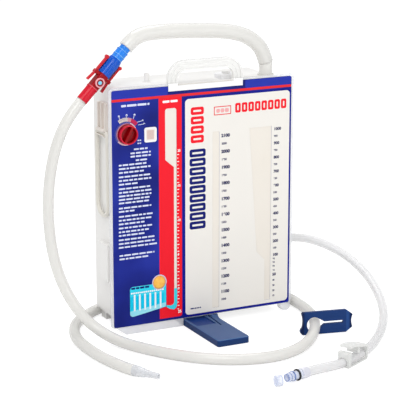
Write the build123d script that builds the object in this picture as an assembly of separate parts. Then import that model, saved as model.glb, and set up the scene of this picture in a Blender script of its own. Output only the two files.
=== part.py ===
from build123d import *

# Dry-suction chest drain unit: flat case with carry handle, swing-out floor stand, bed hangers,
# suction regulator, collection columns, and its patient and suction tubes with their fittings.
#
# Millimetres, +Z up. The printed face looks along -Y and lies in the plane y = 0. The origin is
# on the surface that the unit stands on, under the middle of the face.

import os
from math import cos, pi, radians, sin, tan

# Clearances
PRESS_GAP = 0.0
RUNNING_GAP = 0.05
LOOSE_GAP = 0.3
SEAT_GAP = 0.2

# Floor stand
STAND_WIDTH = 40.0
STAND_THICK = 8.0
STAND_REACH = 88.0
STAND_CORNER = 2.6
STAND_FLARE = 6.0
STAND_FLARE_LENGTH = 24.0
STAND_PIVOT_X = -5.5
STAND_PIVOT_Y = 20.0
STAND_PIN_RADIUS = 4.0
STAND_HEAD_RADIUS = 7.2
STAND_HEAD_THICK = 1.7
STAND_HEAD_RECESS = 0.5
STAND_BOSS_RADIUS = 9.0
STAND_PIN_ENTRY = 7.0
STAND_RAIL_WIDTH = 5.0
STAND_RAIL_RISE = 1.1
STAND_RECESS_DEPTH = 1.5
STAND_SLOT_WIDTH = 2.2
STAND_SLOT_LENGTH = 40.0
STAND_SLOT_LEAN = 3.0

# Face plate
FACE_WIDTH = 236.0
FACE_TOP = 288.8
FACE_BOTTOM = STAND_THICK + STAND_RAIL_RISE + LOOSE_GAP
FACE_THICK = 2.6
FACE_CORNER = 4.0
LIP_RISE = 0.7
LIP_GAP = 0.3

# Case body, set in behind the face plate's flange
FLANGE_OVERHANG = 15.0
BODY_DEPTH = 82.0
BODY_DROP = 2.8
BODY_LIFT = 0.2
BODY_WALL = 2.4
BODY_CORNER = 6.0
BODY_BACK_FILLET = 4.0
JOINT_DEPTH = 9.0
TONGUE_THICK = 1.2
TONGUE_LENGTH = 1.6
DIVIDER_THICK = 1.8
DIVIDER_BACK_GAP = 3.0
SPILL_GAP = 14.0
BACK_RIB_RISE = 1.6
BACK_RIB_WIDTH = 3.0
BACK_RIB_MARGIN = 22.0
BACK_RIB_COUNT = 4

# Skirt and pads under the case
SKIRT_LEFT = -99.3
SKIRT_RIGHT_GAP = 0.8
PAD_WIDTH = 13.0
PAD_DEPTH = 8.0
PAD_INSET = 1.0
PAD_CORNER = 5.5
REAR_PAD_WIDTH = 20.0
REAR_PAD_DEPTH = 14.0

# Carry handle
HANDLE_LEFT = -44.7
HANDLE_RIGHT = 50.2
HANDLE_RISE = 25.6
HANDLE_LEG = 11.6
HANDLE_DEPTH = 6.0
HANDLE_FORWARD = 0.7
HANDLE_WEB = 2.2
HANDLE_BEAD = 1.8
HANDLE_RIB = 1.4
HANDLE_OUTER_RADIUS = 21.0
HANDLE_INNER_RADIUS = 10.0
NOTCH_DEPTH = 8.6

# Printed label, whose places below are measured from its own edges
LABEL_MARGIN = 3.0
LABEL_THICK = 0.3
LABEL_CORNER = 2.5
LABEL_TOP_MARGIN = 2.4
LABEL_BOTTOM_MARGIN = 0.4

# Water-seal window and slot, from the label's left edge and top
SEAL_LEFT = 66.0
SEAL_RIGHT = 80.4
SEAL_SLOT_LEFT = 76.8
SEAL_TOP = 25.4
SEAL_WIDE_BOTTOM = 84.8
SEAL_TAPER = 9.2
SEAL_SLOT_BOTTOM = 239.8
SEAL_CORNER = 3.0
SEAL_CHAMBER_DEPTH = 16.0
SEAL_CHAMBER_WALL = 1.6

# Collection columns' clear strips, from the label's right edge and top
WIDE_STRIP_LEFT = 55.4
WIDE_STRIP_RIGHT = 26.0
WIDE_STRIP_TOP = 57.4
WIDE_STRIP_TAPER_START = 208.2
WIDE_STRIP_TAPER_LEFT = 34.0
NARROW_STRIP_TOP = 219.0
STRIP_BOTTOM = 269.6
FIRST_STRIP_LEFT = 103.6
FIRST_STRIP_RIGHT = 94.6
STRIP_CORNER = 1.2

# Air-leak meter window, from the label's left edge and bottom
METER_LEFT = 20.2
METER_RIGHT = 66.3
METER_TOP = 46.6
METER_BOTTOM = 9.9
METER_FOOT = 17.2
METER_CORNER = 4.0
METER_THICK = 0.6
METER_BAR_RISE = 0.5
METER_BAR_WIDTH = 2.9
METER_BAR_PITCH = 6.6
METER_BAR_COUNT = 6
METER_BAR_INSET = 4.2
METER_BAR_LOW = 17.5
METER_BAR_HIGH = 37.0

# Self-sealing sample port, from the label's left edge and bottom
SAMPLE_X = 57.7
SAMPLE_Z = 47.7
SAMPLE_RADIUS = 7.6
SAMPLE_RISE = 1.6
SAMPLE_STEM_RADIUS = 4.5

# Suction regulator, from the label's left edge and top
DIAL_X = 17.3
DIAL_DROP = 49.8
DIAL_RADIUS = 12.0
DIAL_TOP_RADIUS = 10.8
DIAL_HEIGHT = 8.5
DIAL_BASE = 2.2
DIAL_WELL_RADIUS = 9.6
DIAL_WELL_DEPTH = 5.0
DIAL_GRIP_WIDTH = 5.2
DIAL_GRIP_TAPER = 1.2
DIAL_POINT_ANGLE = 62.0
SEAT_RADIUS = 13.3
SEAT_THICK = 1.0
SPINDLE_RADIUS = 2.0
SPINDLE_ENTRY = 0.6
CAM_RADIUS = 20.0
CAM_THICK = 2.0
CAM_FRONT = 12.0
CAM_LOW_ANGLE = -52.0
CAM_HIGH_ANGLE = 42.0
REGULATOR_OFFSET = 17.7
REGULATOR_RADIUS = 12.0
REGULATOR_WALL = 2.0
REGULATOR_FRONT = 15.4
REGULATOR_DEPTH = 24.0
REGULATOR_SPRING_RADIUS = 6.0
REGULATOR_EAR_OFFSET = 25.7
REGULATOR_EAR_REACH = 18.6
REGULATOR_EAR_WIDTH = 9.0
REGULATOR_POST_RADIUS = 2.4
DIAPHRAGM_THICK = 1.4
DIAPHRAGM_REST = 8.0
PLUNGER_RADIUS = 1.2

# Suction float window, from the label's left edge and top
FLOAT_LEFT = 39.8
FLOAT_RIGHT = 55.3
FLOAT_TOP = 44.8
FLOAT_BOTTOM = 62.2
FLOAT_CORNER = 2.6
FLOAT_FRAME = 1.9
FLOAT_FRAME_RISE = 1.0
FLOAT_PANE = 0.5
FLOAT_CAGE_WALL = 1.2
FLOAT_CAGE_DEPTH = 9.0
FLOAT_HEIGHT = 7.0
FLOAT_THICK = 5.0

# Manual relief valve on top
RELIEF_X = 42.0
RELIEF_Y = 26.0
RELIEF_WIDTH = 22.0
RELIEF_LENGTH = 20.0
RELIEF_RISE = 5.0
RELIEF_CORNER = 3.0
RELIEF_BUTTON_RADIUS = 5.0
RELIEF_BUTTON_PROUD = 3.0
RELIEF_TRAVEL = 2.5
RELIEF_COLLAR = 1.2
RELIEF_CUP_DEPTH = 14.0
RELIEF_CUP_WALL = 1.4

# Ports on the case
VENT_INSET = 65.0
VENT_Y = 40.0
VENT_RADIUS = 3.15
VENT_BORE = 1.8
VENT_RISE = 10.0
PORT_INSET = 26.6
PORT_Y = 20.0
PORT_RADIUS = 7.6
PORT_BORE = 5.4
PORT_RISE = 15.5
PORT_FLANGE_RADIUS = 9.6
PORT_FLANGE_THICK = 2.0
SUCTION_Y = 45.0
SUCTION_Z = 77.0
SUCTION_RADIUS = 5.15
SUCTION_BORE = 2.4
SUCTION_LENGTH = 18.0
SUCTION_FLANGE_RADIUS = 8.5
SUCTION_FLANGE_THICK = 2.0
SPIGOT_RADIUS = 4.2

# Bed hangers
HANGER_ROD = 2.5
HANGER_WIDTH = 30.0
HANGER_TOP = 231.0
HANGER_DROP = 98.0
HANGER_CORNER = 3.6
HANGER_Y = 46.0
HANGER_STANDOFF = 3.6
BRACKET_WIDTH = 22.0
BRACKET_TOP = 265.0
BRACKET_BACK = 2.2
BRACKET_RISE = 5.2
BRACKET_RIB = 2.4
BRACKET_RIB_COUNT = 3
BRACKET_BARREL = 4.8
BRACKET_SNAP = 4.2

# Grey chamfered boss on the left wall
SIDE_BOSS_FRONT = 30.0
SIDE_BOSS_BACK = 58.0
SIDE_BOSS_TOP = 100.0
SIDE_BOSS_BOTTOM = 56.0
SIDE_BOSS_RISE = 6.0
SIDE_BOSS_CHAMFER = 10.0

# Tubes
UPPER_TUBE = 17.2
PATIENT_TUBE = 12.5
SUCTION_TUBE = 10.3
ARC_SHARE = 0.45

# Locking connector between the two patient tubes, measured along its axis
LOCK_INSET = 30.1
LOCK_RISE = 41.9
LOCK_LENGTH = 78.0
BARREL_RADIUS = 6.2
BARREL_SHOULDER_RADIUS = 6.9
BARREL_SHOULDER = 5.0
BARREL_RING_RADIUS = 7.3
COLLAR_RADIUS = 8.0
COLLAR_START = 17.0
COLLAR_END = 40.0
COLLAR_RIBS = 16
COLLAR_RIB_RADIUS = 0.6
LOCK_END = 58.6
LOCK_WIDTH = 11.0
LOCK_DEPTH = 12.4
BOSS_STATION = 50.5
BOSS_RADIUS = 5.6
BOSS_RISE = 8.8
BUTTON_RADIUS = 2.2
RED_RADIUS = 6.6
LEVER_TIP = 22.0
LEVER_PIVOT = 42.6
LEVER_HEEL = 56.0
LEVER_OFFSET = 10.2
LEVER_THICK = 2.0
LEVER_WIDTH = 4.2
LEVER_KNOB = 2.1
LEVER_PIN_RADIUS = 1.2
LEVER_HEEL_SPREAD = 1.6

# Stepped fitting at the patient end
STEPPED_LENGTH = 33.0
STEPPED_BASE_RADIUS = 6.25
STEPPED_TIP_RADIUS = 3.4
STEPPED_TIP_LENGTH = 12.0
STEPPED_BORE = 2.2
STEPPED_STEPS = 3
STEPPED_PLACE = (-149.0, -131.0)

# Navy slide clamp
CLAMP_LENGTH = 62.1
CLAMP_HEIGHT = 27.0
CLAMP_THICK = 4.0
CLAMP_HOLE = 8.7
CLAMP_HOLE_INSET = 15.1
CLAMP_HOLE_HEIGHT = 12.0
CLAMP_ENTRY = 11.0
CLAMP_LOBE = 4.5
CLAMP_SLOT = 3.1
CLAMP_SLOT_RISE = 1.2
CLAMP_SLOT_END = 11.4
CLAMP_THROAT = 12.4
CLAMP_WAIST = 1.8
CLAMP_CORNER = 2.4
CLAMP_SNIP = 8.2
CLAMP_SNIP_RISE = 6.2
CLAMP_LEFT = (80.3, -91.1)
CLAMP_YAW = -12.0

# One-piece pinch clamp
PINCH_RUN_COUNT = 12
PINCH_LENGTH = 42.6
PINCH_HINGE_REACH = 22.9
PINCH_HINGE_CORNER = 4.5
PINCH_WIDTH = 14.0
PINCH_WALL = 2.4
PINCH_HEIGHT = 24.0
PINCH_POST = 17.0

# Suction tube's end fitting, O-ring and loose cap
FITTING_COLLAR_RADIUS = 5.9
FITTING_COLLAR_LENGTH = 9.4
FITTING_RING_RADIUS = 6.4
FITTING_RING_SECTION = 1.1
FITTING_RING_STATION = 14.2
FITTING_FLANGE_RADIUS = 5.6
FITTING_FLANGE_STATION = 20.4
FITTING_FLANGE_WIDTH = 1.2
FITTING_NOSE_RADIUS = 5.0
FITTING_NOSE_LENGTH = 16.0
FITTING_TIP_RADIUS = 4.5
FITTING_TIP_LENGTH = 4.0
FITTING_BORE = 3.0
FITTING_PLACE = (14.0, -219.0)
CAP_PLACE = (-29.5, -227.9)
CAP_RADIUS = 6.0
CAP_LENGTH = 6.6
CAP_FLOOR = 1.3
CAP_YAW_ANGLE = -6.0

# Derived places
FACE_LEFT = -FACE_WIDTH / 2
FACE_RIGHT = FACE_WIDTH / 2
LABEL_LEFT = FACE_LEFT + LABEL_MARGIN
LABEL_RIGHT = FACE_RIGHT - LABEL_MARGIN
LABEL_TOP = FACE_TOP - LABEL_TOP_MARGIN
LABEL_BOTTOM = FACE_BOTTOM + LABEL_BOTTOM_MARGIN
BODY_LEFT = FACE_LEFT + FLANGE_OVERHANG
BODY_RIGHT = FACE_RIGHT - FLANGE_OVERHANG
BODY_TOP = FACE_TOP - BODY_DROP
BODY_BOTTOM = FACE_BOTTOM + BODY_LIFT
NOTCH_Z = FACE_TOP - NOTCH_DEPTH
HANDLE_TOP = FACE_TOP + HANDLE_RISE
PORT_X = FACE_RIGHT - PORT_INSET
VENT_X = FACE_LEFT + VENT_INSET
STAND_LEFT = STAND_PIVOT_X - STAND_WIDTH / 2
STAND_RIGHT = STAND_PIVOT_X + STAND_WIDTH / 2
BOSS_FACE = STAND_THICK + LOOSE_GAP

# Locking connector's axis, from the upper tube's end to the lower tube's end
LOCK_START = Vector(FACE_LEFT + LOCK_INSET, PORT_Y, FACE_TOP + LOCK_RISE)
LOCK_AIM = Vector(-0.696, 0, -0.718).normalized()

# Ends and directions of the two fittings on the floor
STEPPED_START = Vector(*STEPPED_PLACE, PATIENT_TUBE / 2)
STEPPED_AIM = Vector(0.46, -0.888, 0).normalized()
FITTING_START = Vector(*FITTING_PLACE, FITTING_RING_RADIUS + 0.1)
FITTING_AIM = Vector(-0.975, -0.222, 0).normalized()


def along(start, aim, distance):
    """Point at a distance from a start along an aim."""
    return tuple(start + aim * distance)


def over(inset, rise):
    """Point of the upper tube: in from the face's right edge, and up from its top."""
    return (FACE_RIGHT - inset, PORT_Y, FACE_TOP + rise)


# Routes of the three tubes' middle lines
UPPER_ROUTE = [
    (PORT_X, PORT_Y, BODY_TOP + PORT_RISE), over(30.4, 25.2), over(39.5, 36.2), over(52, 44.6),
    over(66.5, 49.8), over(83, 52.6), over(103, 54.6), over(130, 56.2), over(153, 57),
    over(169, 56.8), over(181, 56.2), over(190.6, 53.8), along(LOCK_START, LOCK_AIM, -9.9),
    along(LOCK_START, LOCK_AIM, 0),
]
LOWER_ROUTE = [
    along(LOCK_START, LOCK_AIM, LOCK_LENGTH), along(LOCK_START, LOCK_AIM, LOCK_LENGTH + 24),
    (-174, 20, 227), (-181.6, 20, 196), (-185, 20, 165), (-185, 19, 134), (-182, 17, 103),
    (-175, 13, 73), (-164, 6, 46.5), (-151.5, -4.5, 26.5), (-139, -17, 14.8), (-129, -33, 8.8),
    (-119, -51, 6.35), (-104.5, -80, 6.25), (-87.5, -106, 6.25), (-66.5, -129, 6.25),
    (-41, -147, 6.25), (-12, -157.5, 6.25), (19, -158.5, 6.25), (48, -148, 7.2),
    (72.6, -128.5, 9.2), (92, -103.6, 11.6), (106.6, -75.5, 11.3), (118.5, -48, 8.2),
    (126.6, -18, 6.4), (129.4, 13, 6.25), (127.8, 43, 6.25), (121, 70, 6.25), (105, 91, 6.25),
    (82, 103, 6.25), (53, 108, 6.25), (22, 109.6, 6.25), (-9, 109.2, 6.25), (-40, 107, 6.25),
    (-69, 101, 6.25), (-96, 89, 6.25), (-120, 71.5, 6.25), (-140.5, 51, 6.25),
    (-155, 25, 6.25), (-163.5, -4, 6.25), (-166, -34, 6.25), (-165, -62, 6.25),
    (-161.5, -89, 6.25), (-156, -113, 6.25), along(STEPPED_START, STEPPED_AIM, -7),
    along(STEPPED_START, STEPPED_AIM, 0),
]
SUCTION_ROUTE = [
    (BODY_RIGHT + SUCTION_LENGTH, SUCTION_Y, SUCTION_Z), (146, SUCTION_Y, SUCTION_Z),
    (172, 36, 71.5), (193.5, 17, 61), (204.5, -8, 49),
    (206.5, -35, 38), (202.5, -61, 27.5), (194, -87, 18), (180.5, -110.5, 10.5),
    (163, -132.5, 6.4), (143.5, -153.5, 5.2), (122.5, -174, 5.2), (99.5, -190.6, 5.2),
    (66, -208.6, 5.2), (46.5, -212.5, 5.6), along(FITTING_START, FITTING_AIM, -14),
    along(FITTING_START, FITTING_AIM, 0),
]


def area(left, right, low, high, radius=0.0):
    """Flat rectangle between two pairs of edges, with rounded corners if a radius is given."""
    width = right - left
    height = high - low
    shape = RectangleRounded(width, height, radius) if radius else Rectangle(width, height)
    return Pos((left + right) / 2, (low + high) / 2) * shape


def slab(outline, front, back):
    """Solid of an outline drawn in X and Z, between two depths in Y."""
    return extrude(Plane.XZ.offset(-back) * outline, back - front)


def facing(x, z, y=0.0):
    """Plane on the face, its normal towards the reader and its Y axis up."""
    return Plane(origin=(x, y, z), x_dir=(1, 0, 0), z_dir=(0, -1, 0))


def ring(outer, inner, length):
    """Round sleeve along Z from the origin."""
    return extrude(Circle(outer) - Circle(inner), length)


def label_x(distance):
    """Place across the face, from the label's left edge."""
    return LABEL_LEFT + distance


def label_drop(distance):
    """Height on the face, from the label's top edge down."""
    return LABEL_TOP - distance


def label_rise(distance):
    """Height on the face, from the label's bottom edge up."""
    return LABEL_BOTTOM + distance


def spring(radius, length, wire, turns):
    """Round spring of square wire along Z from the origin."""
    path = Helix(pitch=(length - wire) / turns, height=length - wire, radius=radius)
    start = Plane(origin=path @ 0, z_dir=path % 0)
    return Pos(0, 0, wire / 2) * sweep(start * Rectangle(wire, wire), path=path, is_frenet=True)


# Case

def face_outline():
    """Face plate with its skirt at the left and its pad at the right."""
    plate = area(FACE_LEFT, FACE_RIGHT, FACE_BOTTOM, FACE_TOP, FACE_CORNER)
    skirt_right = STAND_LEFT - SKIRT_RIGHT_GAP
    corner = (FACE_LEFT, FACE_BOTTOM + FACE_CORNER)
    skirt = make_face(Polyline(
        corner, (SKIRT_LEFT, 0), (skirt_right, 0), (skirt_right, corner[1]), close=True))
    notch = area(HANDLE_LEFT - SEAT_GAP, HANDLE_RIGHT + SEAT_GAP, NOTCH_Z, FACE_TOP + 1)
    return plate + skirt - notch


def face_lip():
    """Low rim standing round the label."""
    outer = area(FACE_LEFT, FACE_RIGHT, FACE_BOTTOM, FACE_TOP, FACE_CORNER)
    inner = area(LABEL_LEFT - LIP_GAP, LABEL_RIGHT + LIP_GAP, LABEL_BOTTOM - LIP_GAP / 2,
                 LABEL_TOP + LIP_GAP, LABEL_CORNER)
    notch = area(HANDLE_LEFT - SEAT_GAP, HANDLE_RIGHT + SEAT_GAP, NOTCH_Z, FACE_TOP + 1)
    return slab(outer - inner - notch, -LIP_RISE, 0)


def body_outline(inset=0.0):
    """Outline of the case body behind the face."""
    return area(BODY_LEFT + inset, BODY_RIGHT - inset, BODY_BOTTOM + inset, BODY_TOP - inset,
                BODY_CORNER - inset if BODY_CORNER > inset + 0.5 else 0.5)


def divider_places():
    """Middle of each chamber divider: regulator, water seal, and the two columns."""
    seal_left = label_x(SEAL_LEFT) - 4
    seal_right = label_x(SEAL_RIGHT) + 4
    columns = LABEL_RIGHT - (WIDE_STRIP_LEFT + FIRST_STRIP_RIGHT) / 2
    return [seal_left - DIVIDER_THICK, seal_right + DIVIDER_THICK, columns]


def make_front_case():
    case = slab(face_outline(), 0, FACE_THICK) + face_lip()
    wall = body_outline() - body_outline(BODY_WALL)
    case += slab(wall, FACE_THICK, JOINT_DEPTH)
    tongue_inset = BODY_WALL + RUNNING_GAP
    tongue = body_outline(tongue_inset) - body_outline(tongue_inset + TONGUE_THICK)
    case += slab(tongue, FACE_THICK, JOINT_DEPTH + TONGUE_LENGTH)
    divider_low = BODY_BOTTOM + BODY_WALL + TONGUE_THICK
    divider_high = BODY_TOP - BODY_WALL - SPILL_GAP
    divider_back = BODY_DEPTH - BODY_WALL - DIVIDER_BACK_GAP
    for x in divider_places():
        half = DIVIDER_THICK / 2
        case += slab(area(x - half, x + half, divider_low, divider_high), FACE_THICK, divider_back)
    pad_right = FACE_RIGHT - PAD_INSET
    pad = area(pad_right - PAD_WIDTH, pad_right, 0, FACE_BOTTOM + PAD_CORNER, PAD_CORNER)
    case += slab(pad, 0, PAD_DEPTH)
    case -= facing(label_x(DIAL_X), label_drop(DIAL_DROP), FACE_THICK) * Cylinder(
        SPINDLE_RADIUS + RUNNING_GAP, 2 * (JOINT_DEPTH + TONGUE_LENGTH))
    case -= facing(label_x(SAMPLE_X), label_rise(SAMPLE_Z), FACE_THICK) * Cylinder(
        SAMPLE_STEM_RADIUS, 3 * FACE_THICK)
    case -= slab(float_opening(FLOAT_FRAME), -1, FACE_THICK + 1)
    for post in regulator_posts():
        case += Pos(0, FACE_THICK, 0) * Pos(post) * Rot(-90, 0, 0) * extrude(
            Circle(REGULATOR_POST_RADIUS), REGULATOR_FRONT - FACE_THICK)
    return case


def make_rear_case():
    case = slab(body_outline(), JOINT_DEPTH, BODY_DEPTH)
    case = fillet(case.faces().sort_by(Axis.Y)[-1].edges(), BODY_BACK_FILLET)
    case -= slab(body_outline(BODY_WALL), JOINT_DEPTH - 1, BODY_DEPTH - BODY_WALL)
    pin_top = BOSS_FACE + STAND_PIN_ENTRY
    boss = Pos(STAND_PIVOT_X, STAND_PIVOT_Y, BOSS_FACE)
    case += boss * extrude(Circle(STAND_BOSS_RADIUS), pin_top + BODY_WALL - BOSS_FACE)
    case -= boss * extrude(Circle(STAND_PIN_RADIUS), STAND_PIN_ENTRY)
    for left in (BODY_LEFT + BODY_CORNER, BODY_RIGHT - BODY_CORNER - REAR_PAD_WIDTH):
        pad = area(left, left + REAR_PAD_WIDTH, 0, BODY_BOTTOM + BODY_WALL)
        back = BODY_DEPTH - BODY_BACK_FILLET
        case += slab(pad, back - REAR_PAD_DEPTH, back)
    case += back_ribs()
    case += side_boss()
    case -= Pos(PORT_X, PORT_Y, BODY_TOP) * Cylinder(SPIGOT_RADIUS, 3 * BODY_WALL)
    case -= Pos(VENT_X, VENT_Y, BODY_TOP) * Cylinder(VENT_RADIUS, 3 * BODY_WALL)
    case -= Pos(RELIEF_X, RELIEF_Y, BODY_TOP) * Cylinder(relief_cup_radius(), 3 * BODY_WALL)
    case -= Pos(BODY_RIGHT, SUCTION_Y, SUCTION_Z) * Rot(0, 90, 0) * Cylinder(
        SPIGOT_RADIUS, 3 * BODY_WALL)
    return case


def back_ribs():
    """Upright stiffening ribs on the back of the rear case."""
    ribs = Part()
    low = BODY_BOTTOM + BACK_RIB_MARGIN
    high = BODY_TOP - BACK_RIB_MARGIN
    span = BODY_RIGHT - BODY_LEFT - 2 * BACK_RIB_MARGIN
    for index in range(BACK_RIB_COUNT):
        x = BODY_LEFT + BACK_RIB_MARGIN + span * index / (BACK_RIB_COUNT - 1)
        half = BACK_RIB_WIDTH / 2
        outline = area(x - half, x + half, low, high, half * 0.9)
        ribs += slab(outline, BODY_DEPTH - BODY_WALL / 2, BODY_DEPTH + BACK_RIB_RISE)
    return ribs


def side_boss():
    """Chamfered boss on the left wall."""
    outline = make_face(Polyline(
        (SIDE_BOSS_FRONT, SIDE_BOSS_BOTTOM),
        (SIDE_BOSS_BACK - SIDE_BOSS_CHAMFER, SIDE_BOSS_BOTTOM),
        (SIDE_BOSS_BACK, SIDE_BOSS_BOTTOM + SIDE_BOSS_CHAMFER),
        (SIDE_BOSS_BACK, SIDE_BOSS_TOP),
        (SIDE_BOSS_FRONT, SIDE_BOSS_TOP),
        close=True,
    ))
    inside = BODY_LEFT + BODY_WALL / 2
    depth = SIDE_BOSS_RISE + BODY_WALL / 2
    return extrude(Plane.YZ.offset(inside - depth) * outline, depth)


def arch_outline(inset):
    """Arch of the handle down to the notch, pulled in by an inset on its top and sides."""
    top = HANDLE_TOP - inset
    radius = HANDLE_OUTER_RADIUS - inset * (HANDLE_OUTER_RADIUS - HANDLE_INNER_RADIUS) / HANDLE_LEG
    tall = area(HANDLE_LEFT + inset, HANDLE_RIGHT - inset, NOTCH_Z - 3 * radius, top, radius)
    return tall & area(HANDLE_LEFT, HANDLE_RIGHT, NOTCH_Z + SEAT_GAP, HANDLE_TOP)


def make_carry_handle():
    opening_bottom = area(HANDLE_LEFT, HANDLE_RIGHT, NOTCH_Z, BODY_TOP + SEAT_GAP)
    inner = arch_outline(HANDLE_LEG) - opening_bottom
    arch = arch_outline(0) - inner
    beads = arch_outline(0) - arch_outline(HANDLE_BEAD)
    beads += arch_outline(HANDLE_LEG - HANDLE_BEAD) - arch_outline(HANDLE_LEG)
    middle = HANDLE_LEG / 2
    rib = arch_outline(middle - HANDLE_RIB / 2) - arch_outline(middle + HANDLE_RIB / 2)
    above = area(HANDLE_LEFT, HANDLE_RIGHT, BODY_TOP + SEAT_GAP, HANDLE_TOP)
    front = -HANDLE_FORWARD
    back = front + HANDLE_DEPTH
    web_front = front + (HANDLE_DEPTH - HANDLE_WEB) / 2
    handle = slab(arch & above, web_front, web_front + HANDLE_WEB)
    handle += slab(beads & above, front, back)
    handle += slab(rib & above, front + HANDLE_BEAD / 2, back - HANDLE_BEAD / 2)
    return handle + slab(arch & area(HANDLE_LEFT, HANDLE_RIGHT, NOTCH_Z, FACE_TOP), front, FACE_THICK)


# Label and what shows through it

def float_opening(inset=0.0):
    """Outline of the suction float window on the face."""
    return area(label_x(FLOAT_LEFT) + inset, label_x(FLOAT_RIGHT) - inset,
                label_drop(FLOAT_BOTTOM) + inset, label_drop(FLOAT_TOP) - inset,
                FLOAT_CORNER - inset / 2)


def seal_outline():
    """Wide water-seal window, its taper and the slot below it."""
    left = label_x(SEAL_LEFT)
    right = label_x(SEAL_RIGHT)
    slot = label_x(SEAL_SLOT_LEFT)
    wide_low = label_drop(SEAL_WIDE_BOTTOM)
    window = area(left, right, wide_low, label_drop(SEAL_TOP), SEAL_CORNER)
    funnel = make_face(Polyline(
        (left, wide_low + SEAL_CORNER), (left, wide_low), (slot, wide_low - SEAL_TAPER),
        (right, wide_low - SEAL_TAPER), (right, wide_low + SEAL_CORNER), close=True))
    channel = area(slot, right, label_drop(SEAL_SLOT_BOTTOM), wide_low)
    return window + funnel + channel


def strip_outlines():
    """Clear strips over the two collection columns."""
    first = area(LABEL_RIGHT - FIRST_STRIP_LEFT, LABEL_RIGHT - FIRST_STRIP_RIGHT,
                 label_drop(STRIP_BOTTOM), label_drop(WIDE_STRIP_TOP), STRIP_CORNER)
    right = LABEL_RIGHT - WIDE_STRIP_RIGHT
    second = make_face(Polyline(
        (LABEL_RIGHT - WIDE_STRIP_LEFT, label_drop(WIDE_STRIP_TOP)),
        (right, label_drop(WIDE_STRIP_TOP)),
        (right, label_drop(STRIP_BOTTOM)),
        (LABEL_RIGHT - WIDE_STRIP_TAPER_LEFT, label_drop(STRIP_BOTTOM)),
        (LABEL_RIGHT - WIDE_STRIP_TAPER_LEFT, label_drop(NARROW_STRIP_TOP)),
        (LABEL_RIGHT - (WIDE_STRIP_TAPER_LEFT + WIDE_STRIP_LEFT) / 2,
         label_drop(WIDE_STRIP_TAPER_START)),
        close=True,
    ))
    return first + second


def meter_outline(inset=0.0):
    """Air-leak meter window with its rising foot, clear of the sample port."""
    left = label_x(METER_LEFT) + inset
    right = label_x(METER_RIGHT) - inset
    low = label_rise(METER_BOTTOM) + inset
    foot = label_rise(METER_FOOT) + inset
    top = label_rise(METER_TOP) - inset
    outline = make_face(Polyline((left, low), (right, foot), (right, top), (left, top), close=True))
    corners = [outline.vertices().sort_by(Axis.X)[0], outline.vertices().sort_by(Axis.X)[1]]
    outline = fillet(corners, METER_CORNER - inset)
    return outline - Pos(label_x(SAMPLE_X), label_rise(SAMPLE_Z)) * Circle(SAMPLE_RADIUS + 1 + inset)


def make_front_label():
    sheet = area(LABEL_LEFT, LABEL_RIGHT, LABEL_BOTTOM, LABEL_TOP, LABEL_CORNER)
    sheet -= area(HANDLE_LEFT - LOOSE_GAP, HANDLE_RIGHT + LOOSE_GAP, NOTCH_Z, FACE_TOP)
    sheet -= seal_outline()
    sheet -= strip_outlines()
    sheet -= meter_outline()
    sheet -= float_opening()
    sheet -= Pos(label_x(SAMPLE_X), label_rise(SAMPLE_Z)) * Circle(SAMPLE_RADIUS + SEAT_GAP)
    sheet -= Pos(label_x(DIAL_X), label_drop(DIAL_DROP)) * Circle(SEAT_RADIUS + SEAT_GAP)
    return slab(sheet, -LABEL_THICK, 0)


def make_seal_chamber():
    """Closed channel of the water seal, moulded apart and bonded behind the face."""
    shell = offset(seal_outline(), SEAL_CHAMBER_WALL, kind=Kind.INTERSECTION)
    walls = slab(shell - seal_outline(), FACE_THICK, SEAL_CHAMBER_DEPTH)
    back = slab(shell, SEAL_CHAMBER_DEPTH, SEAL_CHAMBER_DEPTH + SEAL_CHAMBER_WALL)
    return walls + back


def make_air_leak_meter():
    meter = slab(meter_outline(SEAT_GAP), -METER_THICK, 0)
    for index in range(METER_BAR_COUNT):
        left = label_x(METER_LEFT + METER_BAR_INSET + METER_BAR_PITCH * index)
        bar = area(left, left + METER_BAR_WIDTH, label_rise(METER_BAR_LOW),
                   label_rise(METER_BAR_HIGH), METER_BAR_WIDTH / 3)
        meter += slab(bar & meter_outline(1), -METER_THICK - METER_BAR_RISE, -METER_THICK)
    return meter


def make_sample_port():
    place = facing(label_x(SAMPLE_X), label_rise(SAMPLE_Z))
    profile = make_face(
        Polyline((0, SAMPLE_RISE), (SAMPLE_RADIUS * 0.5, SAMPLE_RISE * 0.96),
                 (SAMPLE_RADIUS * 0.85, SAMPLE_RISE * 0.7), (SAMPLE_RADIUS, 0),
                 (SAMPLE_STEM_RADIUS, 0), (SAMPLE_STEM_RADIUS, -FACE_THICK - 1.5),
                 (0, -FACE_THICK - 1.5), close=True))
    return place * revolve(Plane.XZ * profile, Axis.Z)


# Suction regulator

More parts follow.
